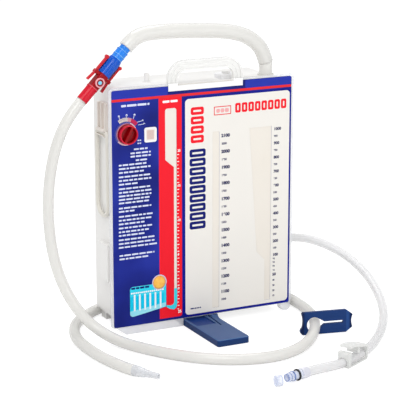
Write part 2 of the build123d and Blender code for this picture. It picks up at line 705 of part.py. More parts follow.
def make_suction_dial():
    place = facing(label_x(DIAL_X), label_drop(DIAL_DROP), -SEAT_THICK - LOOSE_GAP)
    body = extrude(Circle(DIAL_RADIUS), DIAL_BASE)
    body += Pos(0, 0, DIAL_BASE) * Cone(DIAL_RADIUS - 0.5, DIAL_TOP_RADIUS, DIAL_HEIGHT - DIAL_BASE,
                                        align=(Align.CENTER, Align.CENTER, Align.MIN))
    well = Pos(0, 0, DIAL_HEIGHT - DIAL_WELL_DEPTH) * Cylinder(
        DIAL_WELL_RADIUS, DIAL_HEIGHT, align=(Align.CENTER, Align.CENTER, Align.MIN))
    grip_profile = make_face(Polyline(
        (-DIAL_GRIP_WIDTH / 2, DIAL_BASE), (DIAL_GRIP_WIDTH / 2, DIAL_BASE),
        (DIAL_GRIP_WIDTH / 2 - DIAL_GRIP_TAPER, DIAL_HEIGHT),
        (-DIAL_GRIP_WIDTH / 2 + DIAL_GRIP_TAPER, DIAL_HEIGHT), close=True))
    grip = extrude(Plane.YZ * grip_profile, DIAL_TOP_RADIUS - 0.2, both=True)
    knob = body - well + grip
    knob = Rot(0, 0, DIAL_POINT_ANGLE) * knob
    knob -= extrude(Circle(SPINDLE_RADIUS), SPINDLE_ENTRY)
    return place * knob


def make_dial_seat():
    place = facing(label_x(DIAL_X), label_drop(DIAL_DROP))
    return place * ring(SEAT_RADIUS, SPINDLE_RADIUS + RUNNING_GAP, SEAT_THICK)


def make_dial_spindle():
    """Spindle with the sector cam that sets the regulator's plunger."""
    front = SEAT_THICK + LOOSE_GAP + SPINDLE_ENTRY
    place = facing(label_x(DIAL_X), label_drop(DIAL_DROP), CAM_FRONT)
    shaft = extrude(Circle(SPINDLE_RADIUS), CAM_FRONT + front)
    arc = CenterArc((0, 0), CAM_RADIUS, CAM_LOW_ANGLE, CAM_HIGH_ANGLE - CAM_LOW_ANGLE)
    sector = make_face(Curve() + [arc, Line(arc @ 1, (0, 0)), Line((0, 0), arc @ 0)])
    cam = extrude(sector + Circle(SPINDLE_RADIUS), -CAM_THICK)
    return place * (shaft + cam)


def regulator_plane(depth):
    """Plane across the regulator's axis at a depth behind the face."""
    return facing(label_x(DIAL_X) + REGULATOR_OFFSET, label_drop(DIAL_DROP), depth)


def regulator_posts():
    """Feet, on the face, of the two posts that carry the regulator."""
    x = label_x(DIAL_X) + REGULATOR_EAR_OFFSET
    return [(x, 0, label_drop(DIAL_DROP) + side * REGULATOR_EAR_REACH) for side in (-1, 1)]


def make_regulator_housing():
    back = REGULATOR_FRONT + REGULATOR_DEPTH
    housing = extrude(Circle(REGULATOR_RADIUS), REGULATOR_DEPTH)
    ear_x = REGULATOR_EAR_OFFSET - REGULATOR_OFFSET
    ear = area(ear_x - REGULATOR_EAR_WIDTH / 2, ear_x + REGULATOR_EAR_WIDTH / 2,
               -REGULATOR_EAR_REACH - REGULATOR_EAR_WIDTH / 2,
               REGULATOR_EAR_REACH + REGULATOR_EAR_WIDTH / 2, REGULATOR_EAR_WIDTH * 0.49)
    housing += Pos(0, 0, REGULATOR_DEPTH - REGULATOR_WALL) * extrude(ear, REGULATOR_WALL)
    housing -= Pos(0, 0, REGULATOR_WALL) * extrude(
        Circle(REGULATOR_RADIUS - REGULATOR_WALL), REGULATOR_DEPTH)
    housing -= Cylinder(REGULATOR_WALL, 4 * REGULATOR_WALL)
    return regulator_plane(back) * housing


def make_regulator_diaphragm():
    """Disc with the plunger that follows the cam."""
    back = REGULATOR_FRONT + DIAPHRAGM_REST + DIAPHRAGM_THICK
    disc = extrude(Circle(REGULATOR_RADIUS - REGULATOR_WALL - SEAT_GAP), DIAPHRAGM_THICK)
    plunger = extrude(Circle(PLUNGER_RADIUS), back - CAM_FRONT - CAM_THICK - RUNNING_GAP)
    return regulator_plane(back) * (disc + plunger)


def make_regulator_spring():
    front = REGULATOR_FRONT + DIAPHRAGM_REST + DIAPHRAGM_THICK
    back = REGULATOR_FRONT + REGULATOR_DEPTH - REGULATOR_WALL
    return regulator_plane(back) * spring(REGULATOR_SPRING_RADIUS, back - front, 0.9, 3)


# Suction float

def make_float_window():
    frame = float_opening(SEAT_GAP) - float_opening(FLOAT_FRAME)
    window = slab(frame, -FLOAT_FRAME_RISE, 0)
    window += slab(float_opening(SEAT_GAP + 0.5), -FLOAT_PANE, 0)
    return window


def float_cage_bounds(inset=0.0):
    """Edges of the float's cage behind the face: left, right, low, high."""
    grow = FLOAT_CAGE_WALL - FLOAT_FRAME - inset
    return (label_x(FLOAT_LEFT) - grow, label_x(FLOAT_RIGHT) + grow,
            label_drop(FLOAT_BOTTOM) - grow, label_drop(FLOAT_TOP) + grow)


def make_float_cage():
    back = FACE_THICK + FLOAT_CAGE_DEPTH
    cage = slab(area(*float_cage_bounds()), FACE_THICK, back)
    cage -= slab(area(*float_cage_bounds(FLOAT_CAGE_WALL)), FACE_THICK - 1, back - FLOAT_CAGE_WALL)
    return cage


def make_suction_float():
    left, right, low, high = float_cage_bounds(FLOAT_CAGE_WALL + LOOSE_GAP)
    front = FACE_THICK + LOOSE_GAP
    return slab(area(left, right, low, low + FLOAT_HEIGHT, 1), front, front + FLOAT_THICK)


# Relief valve and ports

def relief_cup_radius():
    """Outer radius of the cup under the relief valve's housing."""
    return RELIEF_BUTTON_RADIUS + RELIEF_COLLAR + LOOSE_GAP + RELIEF_CUP_WALL


def make_relief_housing():
    place = Pos(RELIEF_X, RELIEF_Y, BODY_TOP)
    block = extrude(RectangleRounded(RELIEF_WIDTH, RELIEF_LENGTH, RELIEF_CORNER), RELIEF_RISE)
    block = chamfer(block.faces().sort_by(Axis.Z)[-1].edges(), 0.8)
    block += extrude(Circle(relief_cup_radius()), -RELIEF_CUP_DEPTH)
    block -= Cylinder(RELIEF_BUTTON_RADIUS + RUNNING_GAP, 3 * RELIEF_RISE)
    inside = relief_cup_radius() - RELIEF_CUP_WALL
    block -= extrude(Circle(inside), -RELIEF_CUP_DEPTH + RELIEF_CUP_WALL)
    return place * block


def make_relief_button():
    place = Pos(RELIEF_X, RELIEF_Y, BODY_TOP)
    bottom = -LOOSE_GAP - RELIEF_COLLAR
    button = Pos(0, 0, bottom) * extrude(
        Circle(RELIEF_BUTTON_RADIUS), RELIEF_RISE + RELIEF_BUTTON_PROUD - bottom)
    button = fillet(button.faces().sort_by(Axis.Z)[-1].edges(), 0.8)
    button += Pos(0, 0, bottom) * extrude(Circle(RELIEF_BUTTON_RADIUS + RELIEF_COLLAR), RELIEF_COLLAR)
    return place * button


def make_relief_spring():
    floor = -RELIEF_CUP_DEPTH + RELIEF_CUP_WALL
    length = -LOOSE_GAP - RELIEF_COLLAR - floor
    return Pos(RELIEF_X, RELIEF_Y, BODY_TOP + floor) * spring(
        RELIEF_BUTTON_RADIUS - 0.6, length, 0.9, 4)


def make_vent_stub():
    place = Pos(VENT_X, VENT_Y, BODY_TOP)
    stub = place * Pos(0, 0, -BODY_WALL) * ring(VENT_RADIUS, VENT_BORE, BODY_WALL + VENT_RISE)
    stub += place * ring(VENT_RADIUS + 1.6, VENT_BORE, 1.2)
    return stub


def make_patient_port():
    place = Pos(PORT_X, PORT_Y, BODY_TOP)
    port = ring(PORT_RADIUS, SPIGOT_RADIUS - 1, PORT_RISE + PORT_RADIUS)
    port += ring(PORT_FLANGE_RADIUS, SPIGOT_RADIUS - 1, PORT_FLANGE_THICK)
    port += Pos(0, 0, -BODY_WALL) * ring(SPIGOT_RADIUS, SPIGOT_RADIUS - 1, BODY_WALL)
    port -= Pos(0, 0, PORT_FLANGE_THICK) * extrude(Circle(PORT_BORE), 2 * PORT_RISE)
    start, after = Vector(*UPPER_ROUTE[0]), Vector(*UPPER_ROUTE[1])
    return split(place * port, Plane(origin=start, z_dir=after - start), Keep.BOTTOM)


def make_suction_port():
    place = Pos(BODY_RIGHT, SUCTION_Y, SUCTION_Z) * Rot(0, 90, 0)
    port = ring(SUCTION_RADIUS, SUCTION_BORE, SUCTION_LENGTH)
    port += ring(SUCTION_FLANGE_RADIUS, SUCTION_BORE, SUCTION_FLANGE_THICK)
    port += Pos(0, 0, -BODY_WALL) * ring(SPIGOT_RADIUS, SUCTION_BORE, BODY_WALL)
    return place * port


# Bed hangers

def make_hanger(side):
    """Closed rod loop hanging flat beside the case; side is -1 at the left, 1 at the right."""
    x = side * (BODY_RIGHT + HANGER_STANDOFF)
    front = HANGER_Y - HANGER_WIDTH / 2
    back = HANGER_Y + HANGER_WIDTH / 2
    bottom = HANGER_TOP - HANGER_DROP
    bend = HANGER_WIDTH / 2 - 0.2
    path = FilletPolyline(
        (x, HANGER_Y, HANGER_TOP), (x, back, HANGER_TOP), (x, back, bottom), (x, front, bottom),
        (x, front, HANGER_TOP), (x, HANGER_Y - 0.01, HANGER_TOP),
        radius=[HANGER_CORNER, bend, bend, HANGER_CORNER])
    loop = sweep(Plane(origin=path @ 0, z_dir=path % 0) * Circle(HANGER_ROD), path=path)
    link = Pos(x, HANGER_Y, HANGER_TOP) * Rot(90, 0, 0) * Cylinder(HANGER_ROD, 1)
    return loop + link


def make_hanger_bracket(side):
    """Ribbed pad on the case wall whose snap barrel holds the loop's top bar."""
    wall = side * BODY_RIGHT
    front = HANGER_Y - BRACKET_WIDTH / 2
    back = HANGER_Y + BRACKET_WIDTH / 2
    x_bar = wall + side * HANGER_STANDOFF
    plate = Pos(wall + side * BRACKET_BACK / 2, HANGER_Y, (HANGER_TOP + BRACKET_TOP) / 2) * Box(
        BRACKET_BACK, BRACKET_WIDTH, BRACKET_TOP - HANGER_TOP)
    for index in range(BRACKET_RIB_COUNT):
        step = (BRACKET_WIDTH - BRACKET_RIB) / (BRACKET_RIB_COUNT - 1)
        y = front + BRACKET_RIB / 2 + step * index
        rib = Pos(wall + side * BRACKET_RISE / 2, y, (HANGER_TOP + BRACKET_TOP) / 2)
        plate += rib * Box(BRACKET_RISE, BRACKET_RIB, BRACKET_TOP - HANGER_TOP)
    barrel = Pos(x_bar, HANGER_Y, HANGER_TOP) * Rot(90, 0, 0) * Cylinder(
        BRACKET_BARREL, back - front)
    reach = BRACKET_BARREL + HANGER_STANDOFF
    inside = Pos(wall - side * reach / 2, HANGER_Y, HANGER_TOP) * Box(
        reach, BRACKET_WIDTH + 2, 3 * BRACKET_BARREL)
    bore = Pos(x_bar, HANGER_Y, HANGER_TOP) * Rot(90, 0, 0) * Cylinder(
        HANGER_ROD + RUNNING_GAP, BRACKET_WIDTH + 2)
    snap = Pos(x_bar + side * BRACKET_BARREL, HANGER_Y, HANGER_TOP) * Box(
        2 * BRACKET_BARREL, BRACKET_WIDTH + 2, BRACKET_SNAP)
    return plate + (barrel - inside) - bore - snap


# Floor stand

def stand_flare():
    """Widening of the foot at its right, under the case."""
    edge = STAND_RIGHT - 1
    corner = (STAND_RIGHT + STAND_FLARE, 3)
    curve = ThreePointArc((STAND_RIGHT, -STAND_FLARE_LENGTH),
                          (STAND_RIGHT + STAND_FLARE * 0.22, -STAND_FLARE_LENGTH * 0.4), corner)
    back = STAND_PIVOT_Y * 0.7
    rest = Polyline(corner, (corner[0], back), (edge, STAND_PIVOT_Y + STAND_FLARE),
                    (edge, -STAND_FLARE_LENGTH), (STAND_RIGHT, -STAND_FLARE_LENGTH))
    return make_face([curve, rest])


def make_floor_stand():
    outline = area(STAND_LEFT, STAND_RIGHT, -STAND_REACH, STAND_PIVOT_Y, STAND_CORNER)
    outline += area(STAND_LEFT, STAND_RIGHT, -STAND_REACH / 2, STAND_PIVOT_Y)
    outline += Pos(STAND_PIVOT_X, STAND_PIVOT_Y) * Circle(STAND_WIDTH / 2)
    outline += stand_flare()
    stand = extrude(outline, STAND_THICK)
    stand = chamfer(stand.faces().sort_by(Axis.Z)[-1].edges(), 0.9)
    rail_profile = make_face(Polyline(
        (-STAND_FLARE_LENGTH / 2, STAND_THICK - 1), (-4, STAND_THICK + STAND_RAIL_RISE),
        (6, STAND_THICK + STAND_RAIL_RISE), (10, STAND_THICK - 1), close=True))
    rail_left = STAND_RIGHT - 1 - STAND_RAIL_WIDTH
    stand += extrude(Plane.YZ.offset(rail_left) * rail_profile, STAND_RAIL_WIDTH)
    slot_right = rail_left - 0.4
    slot_left = slot_right - STAND_SLOT_WIDTH
    slot_end = 2 - STAND_SLOT_LENGTH
    slot = make_face(Polyline(
        (slot_right, 2), (slot_left, 2), (slot_left - STAND_SLOT_LEAN, slot_end),
        (slot_right - STAND_SLOT_LEAN, slot_end), close=True))
    stand -= extrude(slot, STAND_THICK + 1)
    recess = area(STAND_LEFT + 2.4, slot_left - STAND_SLOT_LEAN - 1, 8 + slot_end, 3, 2)
    stand -= Pos(0, 0, STAND_THICK - STAND_RECESS_DEPTH) * extrude(recess, STAND_THICK)
    pivot = Pos(STAND_PIVOT_X, STAND_PIVOT_Y, 0)
    stand -= pivot * Cylinder(STAND_PIN_RADIUS + RUNNING_GAP, 4 * STAND_THICK)
    head_room = STAND_HEAD_RECESS + STAND_HEAD_THICK + SEAT_GAP
    stand -= pivot * Cylinder(STAND_HEAD_RADIUS + LOOSE_GAP, 2 * head_room)
    return stand


def make_stand_pin():
    place = Pos(STAND_PIVOT_X, STAND_PIVOT_Y, STAND_HEAD_RECESS)
    length = BOSS_FACE + STAND_PIN_ENTRY - STAND_HEAD_RECESS
    pin = extrude(Circle(STAND_PIN_RADIUS), length)
    pin += extrude(Circle(STAND_HEAD_RADIUS), STAND_HEAD_THICK)
    return place * pin


# Tubes

def tube_path(route):
    """Straight runs of a route joined by arcs as large as the runs allow, and their radii."""
    points = [Vector(*point) for point in route]
    runs = [b - a for a, b in zip(points, points[1:])]
    radii = []
    for before, after in zip(runs, runs[1:]):
        half_turn = radians(before.get_angle(after)) / 2
        radii.append(ARC_SHARE * min(before.length, after.length) / tan(half_turn))
    return FilletPolyline(*points, radius=radii), radii


def make_tube(name, route, diameter):
    """Plain tube along a route."""
    path, radii = tube_path(route)
    tube = sweep(Plane(origin=path @ 0, z_dir=path % 0) * Circle(diameter / 2), path=path)
    expected = pi * diameter ** 2 / 4 * path.length
    print(name, "length", round(path.length, 1), "volume share", round(tube.volume / expected, 4))
    print("  radii", " ".join(f"{radius:.0f}" for radius in radii))
    return tube


# Locking connector

def lock_plane():
    """Plane at the upper tube's end, its Z along the connector and its X towards the reader."""
    return Plane(origin=LOCK_START, x_dir=(0, -1, 0), z_dir=LOCK_AIM)


def make_blue_barrel():
    """Barrel that enters the upper tube, its shoulder and two grip rings."""
    inner = BARREL_RADIUS - 1.6
    barrel = ring(BARREL_RADIUS, inner, COLLAR_START)
    shoulder = COLLAR_START - BARREL_SHOULDER
    barrel += Pos(0, 0, BARREL_SHOULDER) * ring(BARREL_SHOULDER_RADIUS, inner, shoulder)
    for station in (BARREL_SHOULDER, BARREL_SHOULDER + shoulder * 0.55):
        barrel += Pos(0, 0, station) * ring(BARREL_RING_RADIUS, inner, 1.1)
    return lock_plane() * barrel


def make_lock_collar():
    length = COLLAR_END - COLLAR_START
    collar = Pos(0, 0, COLLAR_START) * extrude(Circle(COLLAR_RADIUS), length)
    collar -= Pos(0, 0, COLLAR_START) * Cone(
        1.2 * COLLAR_RADIUS, COLLAR_RADIUS, 3, align=(Align.CENTER, Align.CENTER, Align.MIN)) - Pos(
        0, 0, COLLAR_START) * Cone(BARREL_RING_RADIUS, COLLAR_RADIUS, 3,
                                   align=(Align.CENTER, Align.CENTER, Align.MIN))
    groove = Pos(COLLAR_RADIUS + COLLAR_RIB_RADIUS * 0.3, 0, COLLAR_START + 4 + length / 2) * Cylinder(
        COLLAR_RIB_RADIUS, length)
    for index in range(COLLAR_RIBS):
        collar -= Rot(0, 0, 360 * index / COLLAR_RIBS) * groove
    collar -= Pos(0, 0, COLLAR_START) * Cylinder(
        BARREL_RADIUS - 1.6, 3 * length)
    return lock_plane() * collar


def lever_plane(side):
    """Plane at a lever's pivot: Z along the connector, X outwards from it."""
    frame = lock_plane()
    outward = frame.y_dir * side
    return Plane(origin=frame.origin + frame.z_dir * LEVER_PIVOT + outward * LEVER_OFFSET,
                 x_dir=outward, z_dir=frame.z_dir)


def make_lock_body():
    start = COLLAR_END
    body = Pos(0, 0, start) * extrude(RectangleRounded(LOCK_DEPTH, LOCK_WIDTH, 2.4), LOCK_END - start)
    boss = Pos(0, 0, BOSS_STATION) * Rot(0, 90, 0) * ring(BOSS_RADIUS, BOSS_RADIUS - 1.5, BOSS_RISE)
    body += boss
    body += Pos(0, 0, BOSS_STATION) * Rot(0, 90, 0) * ring(3.4, BUTTON_RADIUS, BOSS_RISE - 1.0)
    body -= Pos(0, 0, BOSS_STATION) * Rot(0, 90, 0) * extrude(Circle(BUTTON_RADIUS), 2 * BOSS_RISE)
    body -= Pos(0, 0, start) * extrude(Circle(BARREL_RADIUS - 2), LOCK_END - start)
    body = lock_plane() * body
    for side in (-1, 1):
        ear = Pos(-1.4, 0, 0) * (Box(7, LEVER_WIDTH + 3.2, 3.6) - Box(9, LEVER_WIDTH + 2 * SEAT_GAP, 6))
        ear += Rot(90, 0, 0) * Cylinder(LEVER_PIN_RADIUS, LEVER_WIDTH + 2)
        body += lever_plane(side) * (Pos(-0.4, 0, 0) * ear)
    return body


def make_lock_lever(side):
    arm_low = LEVER_TIP - LEVER_PIVOT
    heel = LEVER_HEEL - LEVER_PIVOT
    half = LEVER_THICK / 2
    profile = make_face(Polyline(
        (-half, arm_low), (half, arm_low), (half, 0), (half + LEVER_HEEL_SPREAD, heel),
        (LEVER_HEEL_SPREAD - half, heel), (-half, 0), close=True))
    lever = extrude(Plane.XZ * profile, LEVER_WIDTH / 2, both=True)
    knob_x = COLLAR_RADIUS + LEVER_KNOB + 1.5 * LOOSE_GAP - LEVER_OFFSET
    lever += Pos(knob_x, 0, arm_low) * Rot(90, 0, 0) * Cylinder(LEVER_KNOB, LEVER_WIDTH)
    lever += Pos(-0.4, 0, 0) * Rot(90, 0, 0) * Cylinder(LEVER_PIN_RADIUS + 1.1, LEVER_WIDTH)
    lever -= Pos(-0.4, 0, 0) * Rot(90, 0, 0) * Cylinder(LEVER_PIN_RADIUS + RUNNING_GAP, 2 * LEVER_WIDTH)
    return lever_plane(side) * lever


def make_lock_button():
    button = Rot(0, 90, 0) * extrude(Circle(BUTTON_RADIUS), BOSS_RISE - 0.4)
    button -= Cylinder(BARREL_RADIUS - 2, 3 * BOSS_RADIUS)
    return lock_plane() * Pos(0, 0, BOSS_STATION) * button


def make_red_barrel():
    barrel = Pos(0, 0, LOCK_END) * ring(RED_RADIUS, BARREL_RADIUS - 2, LOCK_LENGTH - LOCK_END)
    barrel += Pos(0, 0, LOCK_END) * ring(RED_RADIUS + 0.5, BARREL_RADIUS - 2, 2)
    return lock_plane() * barrel


# Fittings on the floor

def make_stepped_connector():
    place = Plane(origin=STEPPED_START, x_dir=(0, 0, 1), z_dir=STEPPED_AIM)
    taper = STEPPED_LENGTH - STEPPED_TIP_LENGTH
    points = [(0, 0), (STEPPED_BASE_RADIUS, 0)]
    for index in range(STEPPED_STEPS):
        share = (STEPPED_BASE_RADIUS - STEPPED_TIP_RADIUS) / STEPPED_STEPS
        radius = STEPPED_BASE_RADIUS - share * index
        station = taper * (index + 1) / STEPPED_STEPS
        points.append((radius - share * 0.55, station))
        points.append((radius - share, station))
    points.append((STEPPED_TIP_RADIUS, STEPPED_LENGTH))
    points.append((0, STEPPED_LENGTH))
    fitting = revolve(Plane.XZ * make_face(Polyline(*points, close=True)), Axis.Z)
    fitting -= extrude(Circle(STEPPED_BORE), STEPPED_LENGTH)
    return place * fitting


def clamp_plane():
    """Plane of the upright clamp plate: X along its foot, Y up, Z towards the reader."""
    yaw = radians(CLAMP_YAW)
    along = (cos(yaw), sin(yaw), 0)
    return Plane(origin=(CLAMP_LEFT[0], CLAMP_LEFT[1], 0), x_dir=along, z_dir=(sin(yaw), -cos(yaw), 0))


def make_tube_clamp():
    """Plate with a keyhole, open below its hole so that it clips on from the side."""
    mid = CLAMP_HOLE_HEIGHT
    top = CLAMP_HEIGHT
    end = CLAMP_LENGTH
    plate = area(0, end, 0, top, CLAMP_CORNER)
    for edge, away in ((0, -1), (top, 1)):
        plate -= make_face(Polyline(
            (end - CLAMP_SNIP, edge), (end, edge - away * CLAMP_SNIP_RISE), (end + 1, edge + away),
            close=True))
    waist = CLAMP_HEIGHT
    plate -= Pos(CLAMP_WAIST - waist, top * 0.58) * Circle(waist)
    plate -= Pos(end + waist * 0.7 - CLAMP_WAIST, top / 2) * Circle(waist * 0.7)
    entry = area(CLAMP_HOLE_INSET - CLAMP_ENTRY / 2, CLAMP_HOLE_INSET + CLAMP_ENTRY / 2, -1, mid)
    plate += Pos(CLAMP_LOBE - 1.3, CLAMP_LOBE) * Circle(CLAMP_LOBE)
    hole = Pos(CLAMP_HOLE_INSET, mid) * Circle(CLAMP_HOLE)
    lean = CLAMP_HOLE * cos(pi / 3)
    rise = CLAMP_HOLE * sin(pi / 3)
    line = mid + CLAMP_SLOT_RISE
    throat = make_face(Polyline(
        (CLAMP_HOLE_INSET + lean, mid - rise), (CLAMP_HOLE_INSET + CLAMP_THROAT, line - CLAMP_SLOT / 2),
        (CLAMP_HOLE_INSET + CLAMP_THROAT, line + CLAMP_SLOT / 2),
        (CLAMP_HOLE_INSET + lean, mid + rise), close=True))
    slot = area(CLAMP_HOLE_INSET, end - CLAMP_SLOT_END, line - CLAMP_SLOT / 2,
                line + CLAMP_SLOT / 2, CLAMP_SLOT * 0.4)
    plate = plate - hole - throat - slot - entry
    clamp = extrude(plate, CLAMP_THICK / 2, both=True)
    return clamp_plane() * clamp


def pinch_plane():
    """Upright plane along the clamped stretch: X from the hinge end to the post, Y up."""
    start, end = Vector(*SUCTION_ROUTE[PINCH_RUN_COUNT]), Vector(*SUCTION_ROUTE[PINCH_RUN_COUNT + 1])
    aim = (end - start).normalized()
    middle = (start + end) * 0.5
    origin = Vector(middle.X, middle.Y, 0) - aim * PINCH_HINGE_REACH
    return Plane(origin=origin, x_dir=aim, z_dir=aim.cross(Vector(0, 0, 1)))


def make_pinch_clamp():
    """Base, hinge bend, sloping jaw with its lip, and the latch post, moulded as one."""
    length = PINCH_LENGTH
    wall = PINCH_WALL
    half = SUCTION_TUBE / 2
    post_left = length - wall - 3.4
    outline = make_face(Polyline(
        (0, 0), (length, 0), (length, PINCH_POST), (post_left, PINCH_POST), (post_left, wall * 0.6),
        (wall, wall * 0.6), (wall, 14.5), (length - 12, PINCH_HEIGHT - wall),
        (length - 4, PINCH_HEIGHT - wall), (length - 4, PINCH_HEIGHT),
        (length - 12.6, PINCH_HEIGHT), (0, 17), close=True))
    hinge = outline.vertices().group_by(Axis.X)[0]
    outline = fillet(hinge, PINCH_HINGE_CORNER)
    clamp = extrude(outline, PINCH_WIDTH / 2, both=True)
    jaw = Pos(length / 2, 2 * half + 3.6) * Circle(2.0)
    clamp += extrude(jaw + area(length / 2 - 1.2, length / 2 + 1.2, 2 * half + 3.6, 19.5),
                     PINCH_WIDTH / 2, both=True)
    path = tube_path(SUCTION_ROUTE[PINCH_RUN_COUNT - 1:PINCH_RUN_COUNT + 3])[0]
    bore = Circle(half + 1.5 * LOOSE_GAP)
    bore = sweep(Plane(origin=path @ 0, z_dir=path % 0) * bore, path=path)
    return pinch_plane() * clamp - bore


def fitting_plane():
    """Plane at the suction tube's end, its Z along the fitting."""
    return Plane(origin=FITTING_START, x_dir=(0, 0, 1), z_dir=FITTING_AIM)


def make_suction_connector():
    """Collar over the tube, grooved nose with a flange, and the bare tip, on one bore."""
    nose_start = FITTING_COLLAR_LENGTH
    nose_end = FITTING_COLLAR_LENGTH + FITTING_NOSE_LENGTH
    fitting = extrude(Circle(FITTING_COLLAR_RADIUS), FITTING_COLLAR_LENGTH)
    fitting += Pos(0, 0, nose_start) * extrude(Circle(FITTING_NOSE_RADIUS), FITTING_NOSE_LENGTH)
    fitting += Pos(0, 0, nose_end) * extrude(Circle(FITTING_TIP_RADIUS), FITTING_TIP_LENGTH)
    fitting += Pos(0, 0, FITTING_FLANGE_STATION) * extrude(
        Circle(FITTING_FLANGE_RADIUS), FITTING_FLANGE_WIDTH)
    fitting -= seal_ring(FITTING_NOSE_RADIUS + 1)
    fitting -= Pos(0, 0, 3) * extrude(Circle(FITTING_BORE), nose_end + FITTING_TIP_LENGTH)
    return fitting_plane() * fitting


def seal_ring(outer):
    """Ring of the O-ring's groove, out to a radius."""
    floor = FITTING_RING_RADIUS - 2 * FITTING_RING_SECTION
    start = FITTING_RING_STATION - FITTING_RING_SECTION
    return Pos(0, 0, start) * ring(outer, floor, 2 * FITTING_RING_SECTION)


def make_connector_seal():
    """O-ring with bevelled edges, seated in its groove."""
    seal = seal_ring(FITTING_RING_RADIUS)
    rim = seal.edges().filter_by(GeomType.CIRCLE).group_by(SortBy.RADIUS)[-1]
    return fitting_plane() * chamfer(rim, FITTING_RING_SECTION * 0.55)


def make_connector_cap():
    angle = radians(CAP_YAW_ANGLE)
    place = Plane(origin=(CAP_PLACE[0], CAP_PLACE[1], CAP_RADIUS + 0.1), x_dir=(0, 0, 1),
                  z_dir=(cos(angle), sin(angle), 0))
    cap = extrude(Circle(CAP_RADIUS), CAP_LENGTH)
    cap -= Pos(0, 0, CAP_FLOOR) * extrude(Circle(FITTING_TIP_RADIUS), CAP_LENGTH)
    return place * cap


def build():
    """Every sub-part, by name."""
    return {
        "front_case": make_front_case(),
        "rear_case": make_rear_case(),
        "carry_handle": make_carry_handle(),
        "front_label": make_front_label(),
        "seal_chamber": make_seal_chamber(),
        "air_leak_meter": make_air_leak_meter(),
        "sample_port": make_sample_port(),
        "dial_seat": make_dial_seat(),
        "suction_dial": make_suction_dial(),
        "dial_spindle": make_dial_spindle(),
        "regulator_housing": make_regulator_housing(),
        "regulator_spring": make_regulator_spring(),
        "regulator_diaphragm": make_regulator_diaphragm(),
        "float_window": make_float_window(),
        "float_cage": make_float_cage(),
        "suction_float": make_suction_float(),
        "relief_housing": make_relief_housing(),
        "relief_button": make_relief_button(),
        "relief_spring": make_relief_spring(),
        "vent_stub": make_vent_stub(),
        "patient_port": make_patient_port(),
        "suction_port": make_suction_port(),
        "hanger_bracket_left": make_hanger_bracket(-1),
        "hanger_bracket_right": make_hanger_bracket(1),
        "hanger_left": make_hanger(-1),
        "hanger_right": make_hanger(1),
        "floor_stand": make_floor_stand(),
        "stand_pin": make_stand_pin(),
        "upper_tube": make_tube("upper_tube", UPPER_ROUTE, UPPER_TUBE),
        "lower_tube": make_tube("lower_tube", LOWER_ROUTE, PATIENT_TUBE),
        "suction_tube": make_tube("suction_tube", SUCTION_ROUTE, SUCTION_TUBE),
        "blue_barrel": make_blue_barrel(),
        "lock_collar": make_lock_collar(),
        "lock_body": make_lock_body(),
        "lock_button": make_lock_button(),
        "lock_lever_left": make_lock_lever(1),
        "lock_lever_right": make_lock_lever(-1),
        "red_barrel": make_red_barrel(),
        "stepped_connector": make_stepped_connector(),
        "tube_clamp": make_tube_clamp(),
        "pinch_clamp": make_pinch_clamp(),
        "suction_connector": make_suction_connector(),
        "connector_seal": make_connector_seal(),
        "connector_cap": make_connector_cap(),
    }


os.makedirs("parts", exist_ok=True)
for node, shape in build().items():
    export_step(shape, f"parts/{node}.step")
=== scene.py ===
import math
import random

import bmesh
import bpy
from mathutils import Matrix, Vector


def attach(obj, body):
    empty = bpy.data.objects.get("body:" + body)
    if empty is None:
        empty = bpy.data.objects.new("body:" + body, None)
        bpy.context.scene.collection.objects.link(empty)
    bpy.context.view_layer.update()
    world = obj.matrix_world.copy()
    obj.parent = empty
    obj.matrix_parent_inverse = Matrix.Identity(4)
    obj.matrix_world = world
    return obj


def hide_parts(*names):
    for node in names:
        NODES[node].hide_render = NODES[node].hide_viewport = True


# Chest drain unit: camera, finishes, tubes, print and light round its solids.
# Places and sizes on the object are in millimetres, and MM turns them into metres. The camera,
# the stage and the lamps are placed in metres.

MM = 0.001
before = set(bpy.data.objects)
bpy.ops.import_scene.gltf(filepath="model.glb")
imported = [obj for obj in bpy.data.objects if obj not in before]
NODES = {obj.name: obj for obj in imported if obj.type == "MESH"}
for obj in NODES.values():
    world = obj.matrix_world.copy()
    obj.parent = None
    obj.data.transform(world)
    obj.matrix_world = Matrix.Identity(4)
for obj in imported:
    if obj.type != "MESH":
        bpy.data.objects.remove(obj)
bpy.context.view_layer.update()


def added(name, data):
    """New object in the scene, made round its data."""
    made = bpy.data.objects.new(name, data)
    bpy.context.scene.collection.objects.link(made)
    return made


def taken_mesh(made):
    """Plain mesh of an object's evaluated shape, in place of the object."""
    graph = bpy.context.evaluated_depsgraph_get()
    mesh = bpy.data.meshes.new_from_object(made.evaluated_get(graph))
    bpy.data.objects.remove(made)
    return mesh


# Camera

def aim_camera(azimuth, elevation, distance, target, lens):
    """Camera at a distance from a target, turned about it and raised over the floor."""
    a, e = math.radians(azimuth), math.radians(elevation)
    offset = Vector((math.sin(a) * math.cos(e), -math.cos(a) * math.cos(e), math.sin(e)))
    data = bpy.data.cameras.new("camera")
    data.sensor_width = 36
    data.lens = lens
    camera = added("camera", data)
    camera.location = Vector(target) + offset * distance
    camera.rotation_euler = (-offset).to_track_quat("-Z", "Y").to_euler()
    bpy.context.scene.camera = camera


aim_camera(azimuth=-26.57, elevation=13.89, distance=1.9596, target=(-0.00458, 0, 0.14975),
           lens=152.27)


# Finishes

def srgb(red, green, blue):
    """Linear colour of an 8-bit display colour."""
    def linear(value):
        value /= 255
        return value / 12.92 if value <= 0.04045 else ((value + 0.055) / 1.055) ** 2.4
    return (linear(red), linear(green), linear(blue), 1.0)


def shaded(color, share):
    """A colour made darker or lighter by a share, at most white."""
    return tuple(min(1.0, c * share) for c in color[:3]) + (1.0,)


